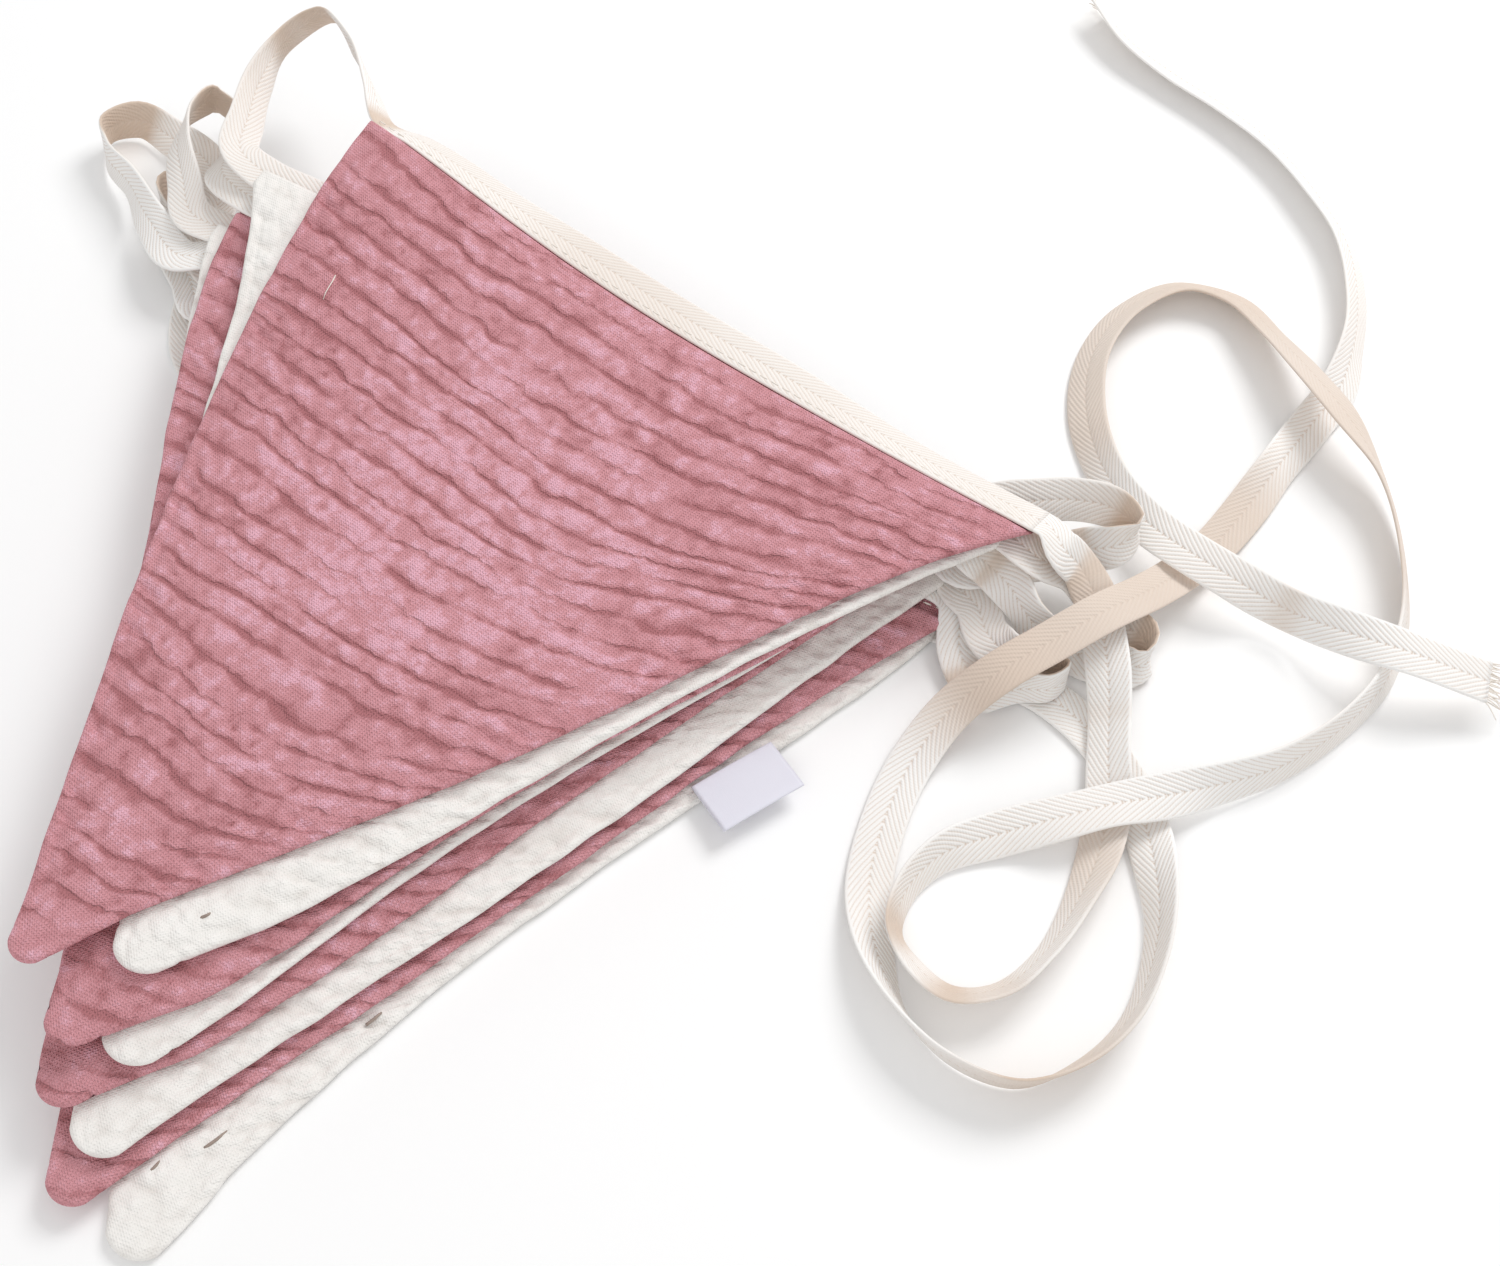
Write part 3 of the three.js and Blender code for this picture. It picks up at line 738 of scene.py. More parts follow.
# crest is a painted highlight on the ridges, trough a painted shade in the troughs and weave holes.
PINK_FINISH = GauzeFinish(
    name="pink_gauze", crest=(0.86, 0.48, 0.575, 1), middle=(0.70, 0.33, 0.365, 1),
    trough=(0.47, 0.185, 0.20, 1), nap=(0.95, 0.72, 0.85, 1), nap_weight=0.06, relief=0.0008, openness=1.0,
    creased=1.0,
)
WHITE_FINISH = GauzeFinish(
    name="white_gauze", crest=(0.93, 0.91, 0.88, 1), middle=(0.90, 0.875, 0.84, 1),
    trough=(0.78, 0.74, 0.70, 1), nap=(1.0, 0.98, 0.95, 1), nap_weight=0.05, relief=0.0007, openness=0.1,
    creased=0.2,
)
# Dark brown colour of the pinch marks: painted shade of small creases.
CREASE_SHADE_FINISH = ThreadFinish("crease_shade_thread", colour=(0.42, 0.34, 0.29, 1), shade=(0.27, 0.20, 0.17, 1))
FINISHES = {Gauze.PINK: PINK_FINISH, Gauze.WHITE: WHITE_FINISH}
CRINKLE_DEPTH = {Gauze.PINK: 0.66, Gauze.WHITE: 0.9}
CRINKLE_SHARPNESS = {Gauze.PINK: 0.48, Gauze.WHITE: 0.12}


@dataclass(frozen=True)
class Crinkle:
    """The crinkle of double gauze: ridges side by side with the tape.

    Attributes:
        depth: How deep the troughs are.
        sharp: How much of that depth is a narrow crease.
        seed: Which unevenness.
        pitch: From one ridge to the next.
        crease_half: Half the width of that crease, as a share of the pitch.
        hollow: How much of the depth is a wide hollow.
        pleat_step: From one short pleat across a ridge to the next.
        pleat_half: Half the width of a pleat, as a share of that step.
        pleat_depth: How deep the pleats are.
        puffs: How high the puffs about 8 mm long are, and those about 3 mm long.
    """

    depth: float
    sharp: float
    seed: int
    pitch: float = RIDGE_PITCH
    crease_half: float = 0.1
    hollow: float = 0.4
    pleat_step: float = 8.5
    pleat_half: float = 0.1
    pleat_depth: float = 0.55
    puffs: tuple[float, float] = (0.2, 0.25)

    def phase(self, across: np.ndarray, line: np.ndarray) -> np.ndarray:
        """Which ridge a place is on: a whole number in each trough."""
        wander = 0.5 * uneven(across / 34, line / 17, self.seed)
        return line / self.pitch + wander + 0.16 * uneven(across / 6, line / 5, self.seed + 1)

    def troughs(self, across: np.ndarray, phase: np.ndarray) -> np.ndarray:
        """How deep the troughs between the ridges are, stronger in some places.

        Args:
            across: Places across the pennant.
            phase: Which ridge each place is on.

        Returns:
            Values under nought, in shares of the depth.
        """
        number = np.round(phase)
        offset = phase - number
        strength = 0.25 + 0.75 * smooth(uneven(across / 13, number * 3.7, self.seed + 2), -0.7, 0.4)
        narrow = np.exp(-((offset / self.crease_half) ** 2))
        wide = 1 - np.abs(np.sin(np.pi * offset)) ** 0.9
        return -strength * (self.sharp * narrow + self.hollow * wide)

    def pleats(self, across: np.ndarray, phase: np.ndarray) -> np.ndarray:
        """How deep the short pleats across the ridges are.

        Args:
            across: Places across the pennant.
            phase: Which ridge each place is on.

        Returns:
            Values under nought, in shares of the depth.
        """
        ridge = np.floor(phase)
        crest = 1 - np.abs(np.cos(np.pi * (phase - np.round(phase))))
        step = across / self.pleat_step + 0.9 * uneven(across / 15, ridge * 5.1, self.seed + 3) + 0.37 * ridge
        offset = step - np.round(step)
        pleat = np.exp(-((offset / self.pleat_half) ** 2)) * crest ** 1.5
        present = smooth(uneven(across / 15, ridge * 2.3, self.seed + 4), -0.35, 0.4)
        return -self.pleat_depth * pleat * present

    def relief(self, across: np.ndarray, line: np.ndarray) -> np.ndarray:
        """How far the cloth sinks under its crests, from about -1.2 to 0.2.

        Args:
            across: Places across the pennant.
            line: Which ridge line each place is on, as a distance below the tape.

        Returns:
            The relief, in shares of the depth.
        """
        phase = self.phase(across, line)
        puffs = self.puffs[0] * uneven(across / 8, line / 4.6, self.seed + 5)
        puffs = puffs + self.puffs[1] * uneven(across / 3.4, line / 2.5, self.seed + 6)
        return self.troughs(across, phase) + self.pleats(across, phase) + puffs


@dataclass(frozen=True)
class Places:
    """Where a pennant's points lie on its flat cloth, in rows and columns.

    Attributes:
        across: Across the pennant, from its middle.
        below: Below the tape.
        share: Share of the way from the left side to the right.
        from_side: Distance from the nearer side.
        from_edge: Distance from the nearest edge.
    """

    across: np.ndarray
    below: np.ndarray
    share: np.ndarray
    from_side: np.ndarray
    from_edge: np.ndarray


@dataclass(frozen=True)
class Pennant:
    """One pennant: two layers of gauze, sewn, turned and pressed.

    Attributes:
        index: Its place in the stack, 0 on top.
        gauze: Its colour.
        x: Middle of its taped edge.
        y: Middle of its taped edge.
        turn: Which way its point lies, in degrees from +X.
        width: Its taped edge.
        length: From that edge to its point.
        sway: How far the point lies to one side.
        dip: How far the taped edge hangs in.
        lift: How high its far left corner stands.
        left: How far its left side bulges at a quarter, a half and three quarters.
        right: The same for its right side.
        tip: Radius of its turned point.
        droop: How far the ends of its tape tip over the edge, in degrees.
        loft: How high its middle puffs up.
        row_step: From one row of points to the next.
        columns: How many columns of points lie between its margins.
    """

    index: int
    gauze: Gauze
    x: float
    y: float
    turn: float
    width: float
    length: float
    sway: float
    dip: float
    lift: float
    left: tuple[float, float, float]
    right: tuple[float, float, float]
    tip: float = 5.0
    droop: float = 0.0
    loft: float = 0.1
    row_step: float = 1.1
    columns: int = 66

    @property
    def name(self) -> str:
        """The CAD node that it stands for."""
        return f"pennant_{self.index + 1}"

    @property
    def tape_on_top(self) -> bool:
        """The fold turns every other pennant over, and its tape with it."""
        return self.index % 2 == 0

    @property
    def away(self) -> Vector:
        """Direction from the point towards the tape."""
        turn = math.radians(self.turn)
        return Vector((-math.cos(turn), -math.sin(turn), 0))

    @property
    def across(self) -> Vector:
        """Direction along the taped edge."""
        return Vector((self.away.y, -self.away.x, 0))

    @property
    def centre(self) -> float:
        """Where the turned point's rounding begins, below the tape."""
        return self.length - self.tip

    def on_table(self, across: np.ndarray, away: np.ndarray) -> tuple[np.ndarray, np.ndarray]:
        """Places on the table, seen from above.

        Args:
            across: Along the taped edge.
            away: From the taped edge, away from the point.

        Returns:
            The x and the y of each place.
        """
        inwards = self.dip * (1 - (2 * across / self.width) ** 2) * (1 - smooth(-away, 0, 90))
        away = away - np.maximum(inwards, 0)
        x = self.x + self.across.x * across + self.away.x * away
        y = self.y + self.across.y * across + self.away.y * away
        return x, y

    def place(self, across: np.ndarray, away: np.ndarray, height: np.ndarray) -> np.ndarray:
        """Points of this pennant or its tape.

        Args:
            across: Along the taped edge.
            away: From the taped edge, away from the point.
            height: Above the underside of this layer.

        Returns:
            The points, in an array with one more axis.
        """
        x, y = self.on_table(np.asarray(across, float), np.asarray(away, float))
        corner_x, corner_y = lifted_corner()
        distance = np.hypot(x - corner_x, y - corner_y) / LIFT_REACH
        wave = 1 + np.sin(x / 38 + 0.6) * np.cos(y / 44)
        below = LOWEST - self.index
        z = below * (LAYER_PITCH + STACK_WAVE * wave) + self.lift * np.exp(-distance ** 2) + height
        return np.stack(np.broadcast_arrays(x, y, z), axis=-1)

    def sides(self, below: np.ndarray) -> tuple[np.ndarray, np.ndarray]:
        """The left and the right side at a distance below the tape.

        Args:
            below: Distances below the tape.

        Returns:
            Each side's place across the pennant.
        """
        slope = math.atan(self.width / 2 / self.length)
        full = self.centre + self.tip / math.sin(slope)
        share = np.maximum(below, 0) / full
        half = self.width / 2 * (1 - share)
        rounding = np.sqrt(np.maximum(self.tip ** 2 - np.maximum(below - self.centre, 0) ** 2, 0))
        half = np.where(below > self.centre, np.minimum(half, rounding), half)
        fade = np.clip((self.length - below) / 20, 0, 1)
        middle = self.sway * share
        ragged = RAGGED_DEPTH * (np.clip(below / 12, 0, 1) * fade)
        left = middle - half - bulge(share, self.left) * fade
        right = middle + half + bulge(share, self.right) * fade
        left = left - ragged * uneven(below / RAGGED_STEP, 0 * below, Chance.LEFT_SIDE + self.index)
        right = right + ragged * uneven(below / RAGGED_STEP, 0 * below, Chance.RIGHT_SIDE + self.index)
        return left, right

    def rows(self) -> np.ndarray:
        """How far below the tape the rows of points lie.

        Returns:
            The distances, from the seam allowance to the point.
        """
        count = int((self.centre - STITCH_STEP) / self.row_step)
        body = np.linspace(STITCH_STEP, self.centre, count, endpoint=False)
        angles = np.radians(np.linspace(0, 90, TIP_ROWS))
        return np.concatenate([SEAM_ROWS, body, self.centre + self.tip * np.sin(angles)])

    def sag(self, share: np.ndarray, below: np.ndarray) -> np.ndarray:
        """How far the ridges run down between the two sides.

        Args:
            share: Share of the way from the left side to the right.
            below: Distances below the tape.

        Returns:
            How far each place's ridge has run down.
        """
        width = self.width * np.clip(1 - below / (self.length + self.tip), 0, 1)
        curve = 0.12 * share - 0.11 * share ** 2 - 0.13 * share ** 5
        low = -0.12 * share * smooth(below, 110, 170)
        return width * (curve * (0.35 + 0.65 * smooth(below, 5, 45)) + low)

    def places(self) -> Places:
        """Where the points lie, closer together beside the sides.

        Returns:
            Each point's places on the flat cloth.
        """
        below = self.rows()[:, None]
        left, right = self.sides(below)
        inset = np.array(MARGIN) * np.clip((right - left) / 2 / EDGE_MARGIN, 0, 1)
        inner = np.linspace(0, 1, self.columns + 2)[None, 1:-1]
        start, end = left + inset[:, -1:], right - inset[:, -1:]
        middle = start + (end - start) * inner
        across = np.concatenate([left + inset, middle, (right - inset)[:, ::-1]], axis=1)
        share = np.clip((across - left) / np.maximum(right - left, 1e-6), 0, 1)
        below = np.broadcast_to(below, across.shape)
        from_side = np.minimum(across - left, right - across)
        from_tip = self.tip - np.hypot(across - (left + right) / 2, np.maximum(below - self.centre, 0))
        from_edge = np.where(below > self.centre, np.minimum(from_side, from_tip), from_side)
        from_edge = np.clip(np.minimum(from_edge, below + SEAM_ALLOWANCE), 0, None)
        return Places(across, below, share, from_side, from_edge)

    def drawn_in(self, at: Places) -> np.ndarray:
        """How far the seam beside each edge draws the cloth down, with short puckers.

        Args:
            at: Where the points lie.

        Returns:
            How far each point sinks.
        """
        below, index = at.below, self.index
        off_tape = smooth(below, 4, 10)
        seam = SEAM_DEPTH * np.exp(-(((at.from_side - SEAM_LINE) / SEAM_HALF) ** 2)) * off_tape
        seam = seam * smooth(uneven(below / 23, at.across / 90, Chance.SEAM + index), -0.8, 0.3)
        step = below / PUCKER_STEP + 0.6 * uneven(below / 11, at.from_side / 40, Chance.PUCKER + index)
        step = step + 0.4 * (at.share > 0.5)
        pucker = np.exp(-(((step - np.round(step)) / PUCKER_HALF) ** 2)) * smooth(at.from_side, 0.4, 2.2)
        pucker = pucker * (1 - smooth(at.from_side, 5, 11))
        pucker = pucker * smooth(uneven(below / 8, at.share * 3, Chance.PUCKERED + index), -0.6, 0.2)
        return seam + PUCKER_DEPTH * pucker * off_tape * smooth(self.length - below, 8, 24)

    def shade(self, at: Places, sunk: np.ndarray) -> np.ndarray:
        """Painted light and shade: lighter on the ridges and in the middle, darker in the troughs and towards
        the edges.

        Args:
            at: Where the points lie.
            sunk: How far the crinkle sinks each point.

        Returns:
            The tone, from 0 to 1.
        """
        # Painted pool of light in the middle, fading to painted shade outwards; the uneven term is random
        # tone.
        from_middle = np.hypot(at.share - 0.5, (at.below - 75) / 190)
        broad = 0.26 * smooth(from_middle, 0.08, 0.5)
        broad = broad + 0.05 * uneven(at.across / 30, at.below / 30, Chance.SHADE + self.index)
        return np.clip(1.0 - broad + sunk, 0, 1)

    def sheets(self) -> list[Surface]:
        """The upper and the lower face, which meet all round the edge.

        Returns:
            The two faces.
        """
        at = self.places()
        across, below, from_edge = at.across, at.below, at.from_edge
        seed = Chance.CRINKLE + 10 * self.index
        crinkle = Crinkle(CRINKLE_DEPTH[self.gauze], CRINKLE_SHARPNESS[self.gauze], seed)
        line = below - self.sag(at.share, below)
        relief = crinkle.relief(across, line)
        fade = (0.35 + 0.65 * smooth(from_edge, 1.5, EDGE_MARGIN)) * smooth(below, 1.5, 7)
        fade = fade * (0.35 + 0.65 * smooth(self.length - below, 8, 34))
        press = EDGE_PRESS * (1 - smooth(from_edge, 0.5, EDGE_MARGIN))
        crest = CLOTH - press - self.drawn_in(at)
        top = crest + (crinkle.depth * relief + self.loft * smooth(from_edge, 2, 16)) * fade
        under = np.clip(press * 0.4 - 0.35 * relief * fade, 0, None)
        taped = UNDER_TAPE * (1 - smooth(below, -0.4, 0.7))
        top = top - (taped if self.tape_on_top else 0)
        bottom = np.maximum(under, 0 if self.tape_on_top else taped)
        fall = np.tan(np.radians(self.tape_tilt(across / self.width))) * np.clip(-below, 0, None)
        top, bottom = top - fall, bottom - fall
        middle = (top + bottom) / 2
        rounding = np.sqrt(np.clip(1 - (1 - np.clip(from_edge / EDGE_ROUND, 0, 1)) ** 2, 0, 1))
        upper = self.place(across, -below, middle + (top - middle) * rounding)
        lower = self.place(across, -below, middle - (middle - bottom) * rounding)
        flat = np.stack([across, below], axis=-1)
        ridges = np.stack([across, crinkle.phase(across, line) * crinkle.pitch], axis=-1)
        # Painted shade: troughs darken the upper face's tone; the lower face has a fixed darker tone, painted
        # shade under the cloth.
        tone = self.shade(at, relief * (0.35 + 0.65 * fade))
        return [Surface(upper, flat, tone, ridges), Surface(lower, flat, np.full_like(tone, 0.6), ridges)]

    def build(self) -> bpy.types.Object:
        """Builds and dresses the pennant.

        Returns:
            The piece.
        """
        piece = closed_mesh(f"gauze_{self.name}", self.sheets())
        finish = FINISHES[self.gauze]
        piece.data.materials.append(finish.material())
        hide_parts(self.name)
        return piece

    def tape_tilt(self, share: np.ndarray) -> np.ndarray:
        """How far the tape tips over the edge at a share of the width, in degrees."""
        corner = 0.9 * smooth(-2 * share, 0.78, 1.0)
        return self.droop * (0.25 + 0.75 * smooth(np.abs(2 * share), 0.2, 0.75) + corner)

    def on_tape(self, share: float, away: float, height: float) -> Station:
        """A point on the sewn tape and the direction across the tape there.

        Args:
            share: Along the taped edge, from -0.5 to 0.5.
            away: Across the tape, from its sewn selvedge.
            height: Above the underside of this layer.

        Returns:
            The point and the direction.
        """
        tilt = math.radians(float(self.tape_tilt(np.array(share))))
        wide = self.away * math.cos(tilt) - Vector((0, 0, 1)) * math.sin(tilt)
        edge = self.place(np.array(share * self.width), np.array(0.0), np.array(height))
        return Vector(edge) + wide * away, wide

    def strip(self) -> list[Station]:
        """The tape sewn along this pennant.

        Returns:
            A centre and a width direction for each step along it.
        """
        height = CLOTH - TAPE_THICKNESS / 2 if self.tape_on_top else TAPE_THICKNESS / 2
        last = round(self.width / (STRIP_STEP if self.index < 2 else 2 * STRIP_STEP))
        shares = np.linspace(-0.5, 0.5, last + 1) * (-1 if self.tape_on_top else 1)
        return [self.on_tape(float(share), TAPE_WIDTH / 2, height) for share in shares]


def bulge(share: np.ndarray, values: tuple[float, float, float]) -> np.ndarray:
    """A smooth curve through nought at both ends and three bulges between them.

    Args:
        share: Share of the way along the side.
        values: The bulge at a quarter, a half and three quarters.

    Returns:
        The bulge at each place.
    """
    quarter, half, three_quarters = values
    s = np.clip(share, 0, 1)
    first = 32 / 3 * quarter * s * (1 - s) * (1 - 2 * s) * (1.5 - 2 * s)
    middle = 64 * half * s * (1 - s) * (s - 0.25) * (0.75 - s)
    last = 32 / 3 * three_quarters * s * (1 - s) * (2 * s - 1) * (2 * s - 0.5)
    return first + middle + last


PENNANTS = (
    Pennant(0, Gauze.PINK, 56.5, 95.5, -127.2, 190.5, 199.5, -4.8, 3.5, 8, (8.8, 10.2, 5.4),
            (-3.3, 0.7, -0.5), droop=26, loft=0.5, row_step=0.62, columns=118),
    Pennant(1, Gauze.WHITE, 39, 87.5, -120.6, 201, 172, 1.5, 0, 5, (0.7, 4.2, 0.5), (-2.5, -0.3, 2.6),
            tip=7.5),
    Pennant(2, Gauze.PINK, 31.5, 88.5, -119.1, 191, 187, 0, 0, 2.5, (5.5, 2, -1.5), (4.2, 1.5, 5), tip=6),
    Pennant(3, Gauze.WHITE, 28.5, 91.5, -113.8, 191.5, 185.5, -1.5, 0, 1.2, (2.3, 0.3, -0.5), (7, 1.2, 0.2),
            tip=7.5),
    Pennant(4, Gauze.PINK, 25, 81.5, -116, 191, 187, -4.5, 0, 0.6, (0, 0, 0), (1.4, 3.5, 6.2), tip=6),
    Pennant(5, Gauze.WHITE, 29, 77, -115.9, 191, 189, 0.5, 0, 0.3, (0, 0, 0), (0.8, 1.8, 0.3), tip=7.5),
    Pennant(6, Gauze.PINK, 30.5, 70, -116.6, 191, 193, -2.3, 0, 0, (0, 0, 0), (-3, -1.5, -1), tip=6),
    Pennant(7, Gauze.WHITE, 25, 61, -112.4, 189, 185.5, 1, 0, 0, (0, 0, 0), (-3.5, -8, -6.5), tip=7.5),
)


@lru_cache(maxsize=1)
def lifted_corner() -> tuple[float, float]:
    """Where the top pennant's far left corner lies.

    Returns:
        Its x and its y.
    """
    top = PENNANTS[0]
    x, y = top.on_table(np.array(-top.width / 2), np.array(0.0))
    return float(x), float(y)


def route_stations(
    route: Route,
    start: list[Station] | None = None,
    end: list[Station] | None = None,
) -> list[Station]:
    """Centres and width directions of the tape along a route.

    Args:
        route: Rows of x, y, lift and roll.
        start: What comes before the route.
        end: What comes after it.

    Returns:
        A centre and a width direction for each row.
    """
    centres = []
    for x, y, lift, roll in route:
        turn = math.radians(roll)
        half = TAPE_WIDTH / 2 * abs(math.sin(turn)) + TAPE_THICKNESS / 2 * abs(math.cos(turn))
        centres.append(Vector((x, y, lift + half)))
    path = [c for c, _ in start or []] + centres + [c for c, _ in end or []]
    found = []
    for i, centre in enumerate(centres):
        here = i + len(start or [])
        before, after = path[max(here - 1, 0)], path[min(here + 1, len(path) - 1)]
        leftwards = Vector((before.y - after.y, after.x - before.x, 0)).normalized()
        turn = math.radians(route[i][3])
        found.append((centre, leftwards * math.cos(turn) + Vector((0, 0, 1)) * math.sin(turn)))
    return found


def tape_stations() -> list[Station]:
    """Stations of the whole tape: a strip on each pennant and a free loop between two.

    Returns:
        A centre and a width direction for each station.
    """
    strips = [pennant.strip() for pennant in PENNANTS]
    found = list(strips[0])
    for loop, strip in zip(LOOPS, strips[1:]):
        found += route_stations(loop, found[-1:], strip[:1]) + strip
    return found


def through(knots: np.ndarray, values: np.ndarray, places: np.ndarray) -> np.ndarray:
    """A smooth curve through values at knots.

    Args:
        knots: Increasing distances of the values.
        values: One row of numbers at each knot.
        places: Where the curve is wanted.

    Returns:
        One row of numbers at each place.
    """
    gaps = np.diff(knots)[:, None]
    slopes = np.diff(values, axis=0) / gaps
    inner = (slopes[:-1] * gaps[1:] + slopes[1:] * gaps[:-1]) / (gaps[1:] + gaps[:-1])
    tangents = np.concatenate([slopes[:1], inner, slopes[-1:]])
    at = np.clip(np.searchsorted(knots, places, side="right") - 1, 0, len(knots) - 2)
    gap = gaps[at]
    t = ((places - knots[at]) / gap[:, 0])[:, None]
    first = (1 + 2 * t) * (1 - t) ** 2 * values[at] + t * (1 - t) ** 2 * gap * tangents[at]
    return first + t * t * (3 - 2 * t) * values[at + 1] + t * t * (t - 1) * gap * tangents[at + 1]


@dataclass
class Band:
    """A length of tape with soft selvedges.

    Attributes:
        name: The piece's name.
        stations: Its centres and width directions.
        front: Which side its front is on; the other face gets painted shade.
        shaded_beige: Stretches with painted shade, darker and warmer: start, end and how much.
        width: Its width.
        thickness: Its thickness.
        path: Its centres, once it is built.
        last_width: The direction across its far end, once it is built.
    """

    name: str
    stations: list[Station]
    front: Front = Front.LEFT_HAND
    shaded_beige: tuple[tuple[float, float, float], ...] = ()
    width: float = TAPE_WIDTH
    thickness: float = 0.9
    path: np.ndarray = field(default_factory=lambda: np.zeros((0, 3)))
    last_width: np.ndarray = field(default_factory=lambda: np.zeros(3))

    def section(self) -> np.ndarray:
        """Points round the tape's section.

        Returns:
            For each one, its share of the width and of the thickness.
        """
        upper = [(-0.5, 0), (-0.49, 0.3), (-0.45, 0.47), (-0.38, 0.5), (-0.2, 0.47), (-0.03, 0.45), (0, 0.36)]
        upper += [(-w, h) for w, h in upper[-2:0:-1]]
        lower = [(-w, -h) for w, h in upper]
        return np.array(upper + [(0.5, 0)] + lower[1:] + [(-0.5, 0)])

    def frames(self) -> tuple[np.ndarray, np.ndarray, np.ndarray, np.ndarray]:
        """Even steps along the tape.

        Returns:
            Their centres, width directions, face directions and distances along it.
        """
        centres = np.array([c for c, _ in self.stations])
        widths = np.array([w for _, w in self.stations])
        knots = np.concatenate([[0], np.cumsum(np.linalg.norm(np.diff(centres, axis=0), axis=1))])
        places = np.linspace(0, knots[-1], int(knots[-1] / TAPE_STEP) + 1)
        line, wide = through(knots, centres, places), through(knots, widths, places)
        along = np.gradient(line, axis=0)
        along /= np.linalg.norm(along, axis=1)[:, None]
        wide -= along * (wide * along).sum(axis=1)[:, None]
        wide /= np.linalg.norm(wide, axis=1)[:, None]
        run = np.concatenate([[0], np.cumsum(np.linalg.norm(np.diff(line, axis=0), axis=1))])
        return line, wide, np.cross(along, wide), run

    def build(self) -> bpy.types.Object:
        """Builds and dresses the band.

        Returns:
            The piece.
        """
        line, wide, face, run = self.frames()
        self.path, self.last_width = line, wide[-1]
        section = self.section()
        offset = section[None, :, 0, None] * self.width * wide[:, None]
        raised = section[None, :, 1, None] * self.thickness * face[:, None]
        points = line[:, None] + offset + raised
        flat = np.stack(np.broadcast_arrays(run[:, None], section[None, :, 0] * self.width), axis=-1)
        # Painted shade in the tone: darker on the hollow side of a bend and on the back face.
        side = np.sign(section[None, :, 1] + 1e-6)
        bend = np.gradient(np.gradient(line, axis=0), axis=0) / np.median(np.diff(run)) ** 2
        hollow = np.convolve((bend * face).sum(axis=1), np.ones(5) / 5, mode="same")[:, None]
        tone = 1 - smooth(hollow * side, *HOLLOW_BEND)
        tone = tone - REVERSE_SHADE * (side * self.front.value < 0)
        # Painted shade along the listed stretches.
        for start, end, share in self.shaded_beige:
            within = smooth(run, start - BEIGE_FADE, start + BEIGE_FADE)
            within = within * smooth(-run, -end - BEIGE_FADE, BEIGE_FADE - end)
            tone = tone - share * within[:, None]
        tone = np.clip(np.broadcast_to(tone, points.shape[:2]), 0, 1)
        piece = closed_mesh(self.name, [Surface(points, flat, tone)])
        piece.data.materials.append(TapeFinish().material())
        return piece


def thread(points: np.ndarray, radius: float) -> Surface:
    """The surface of one thread through points.

    Args:
        points: Its centre line.
        radius: Half its thickness where it starts.

    Returns:
        Its surface, open at both ends.
    """
    along = np.gradient(points, axis=0)
    along /= np.linalg.norm(along, axis=1)[:, None]
    side = np.cross(along, OFF_AXIS)
    side /= np.linalg.norm(side, axis=1)[:, None]
    upward = np.cross(side, along)
    angles = np.linspace(0, 2 * math.pi, THREAD_SIDES + 1)
    ring = side[:, None] * np.cos(angles)[None, :, None] + upward[:, None] * np.sin(angles)[None, :, None]
    taper = np.linspace(1, 0.6, len(points))[:, None, None]
    flat = np.stack(np.broadcast_arrays(np.arange(len(points))[:, None], angles[None]), axis=-1)
    return Surface(points[:, None] + ring * radius * taper, flat, np.ones(flat.shape[:2]))


@dataclass(frozen=True)
class FrayedEnd:
    """The loose threads where a tie is cut.

    Attributes:
        name: The piece's name.
        seed: Which unevenness.
        threads: How many threads.
        reach: How long the longest is.
        rooted: How far inside the tape they start.
    """

    name: str
    seed: int
    threads: int = 26
    reach: float = 7.5
    rooted: float = 1.2

    def build(self, centre: np.ndarray, along: np.ndarray, wide: np.ndarray) -> bpy.types.Object:
        """Builds and dresses the threads.

        Args:
            centre: Where the tape ends.
            along: Direction out of the tape's end.
            wide: Direction across the tape.

        Returns:
            The threads, as one piece.
        """
        chance = np.random.default_rng(self.seed)
        face = np.cross(along, wide)
        steps = np.linspace(0, 1, 8)[:, None]
        surfaces = []
        for place in np.linspace(-0.47, 0.47, self.threads):
            reach = self.reach * chance.uniform(0.3, 1.0)
            spread = place * 1.6 + chance.normal(0, 1.0)
            rise = chance.normal(0, 0.7)
            start = centre - along * self.rooted + wide * place * TAPE_WIDTH
            start = start + face * chance.uniform(-0.25, 0.25)
            curve = start + along * (reach + self.rooted) * steps + (wide * spread + face * rise) * steps ** 2
            curve = curve + wide * 0.25 * np.sin(steps * 5 + chance.uniform(0, 6)) * steps
            curve[:, 2] = np.maximum(curve[:, 2], 0.25)
            surfaces.append(thread(curve, chance.uniform(0.13, 0.2)))
        piece = closed_mesh(self.name, surfaces)
        piece.data.materials.append(ThreadFinish().material())
        return piece


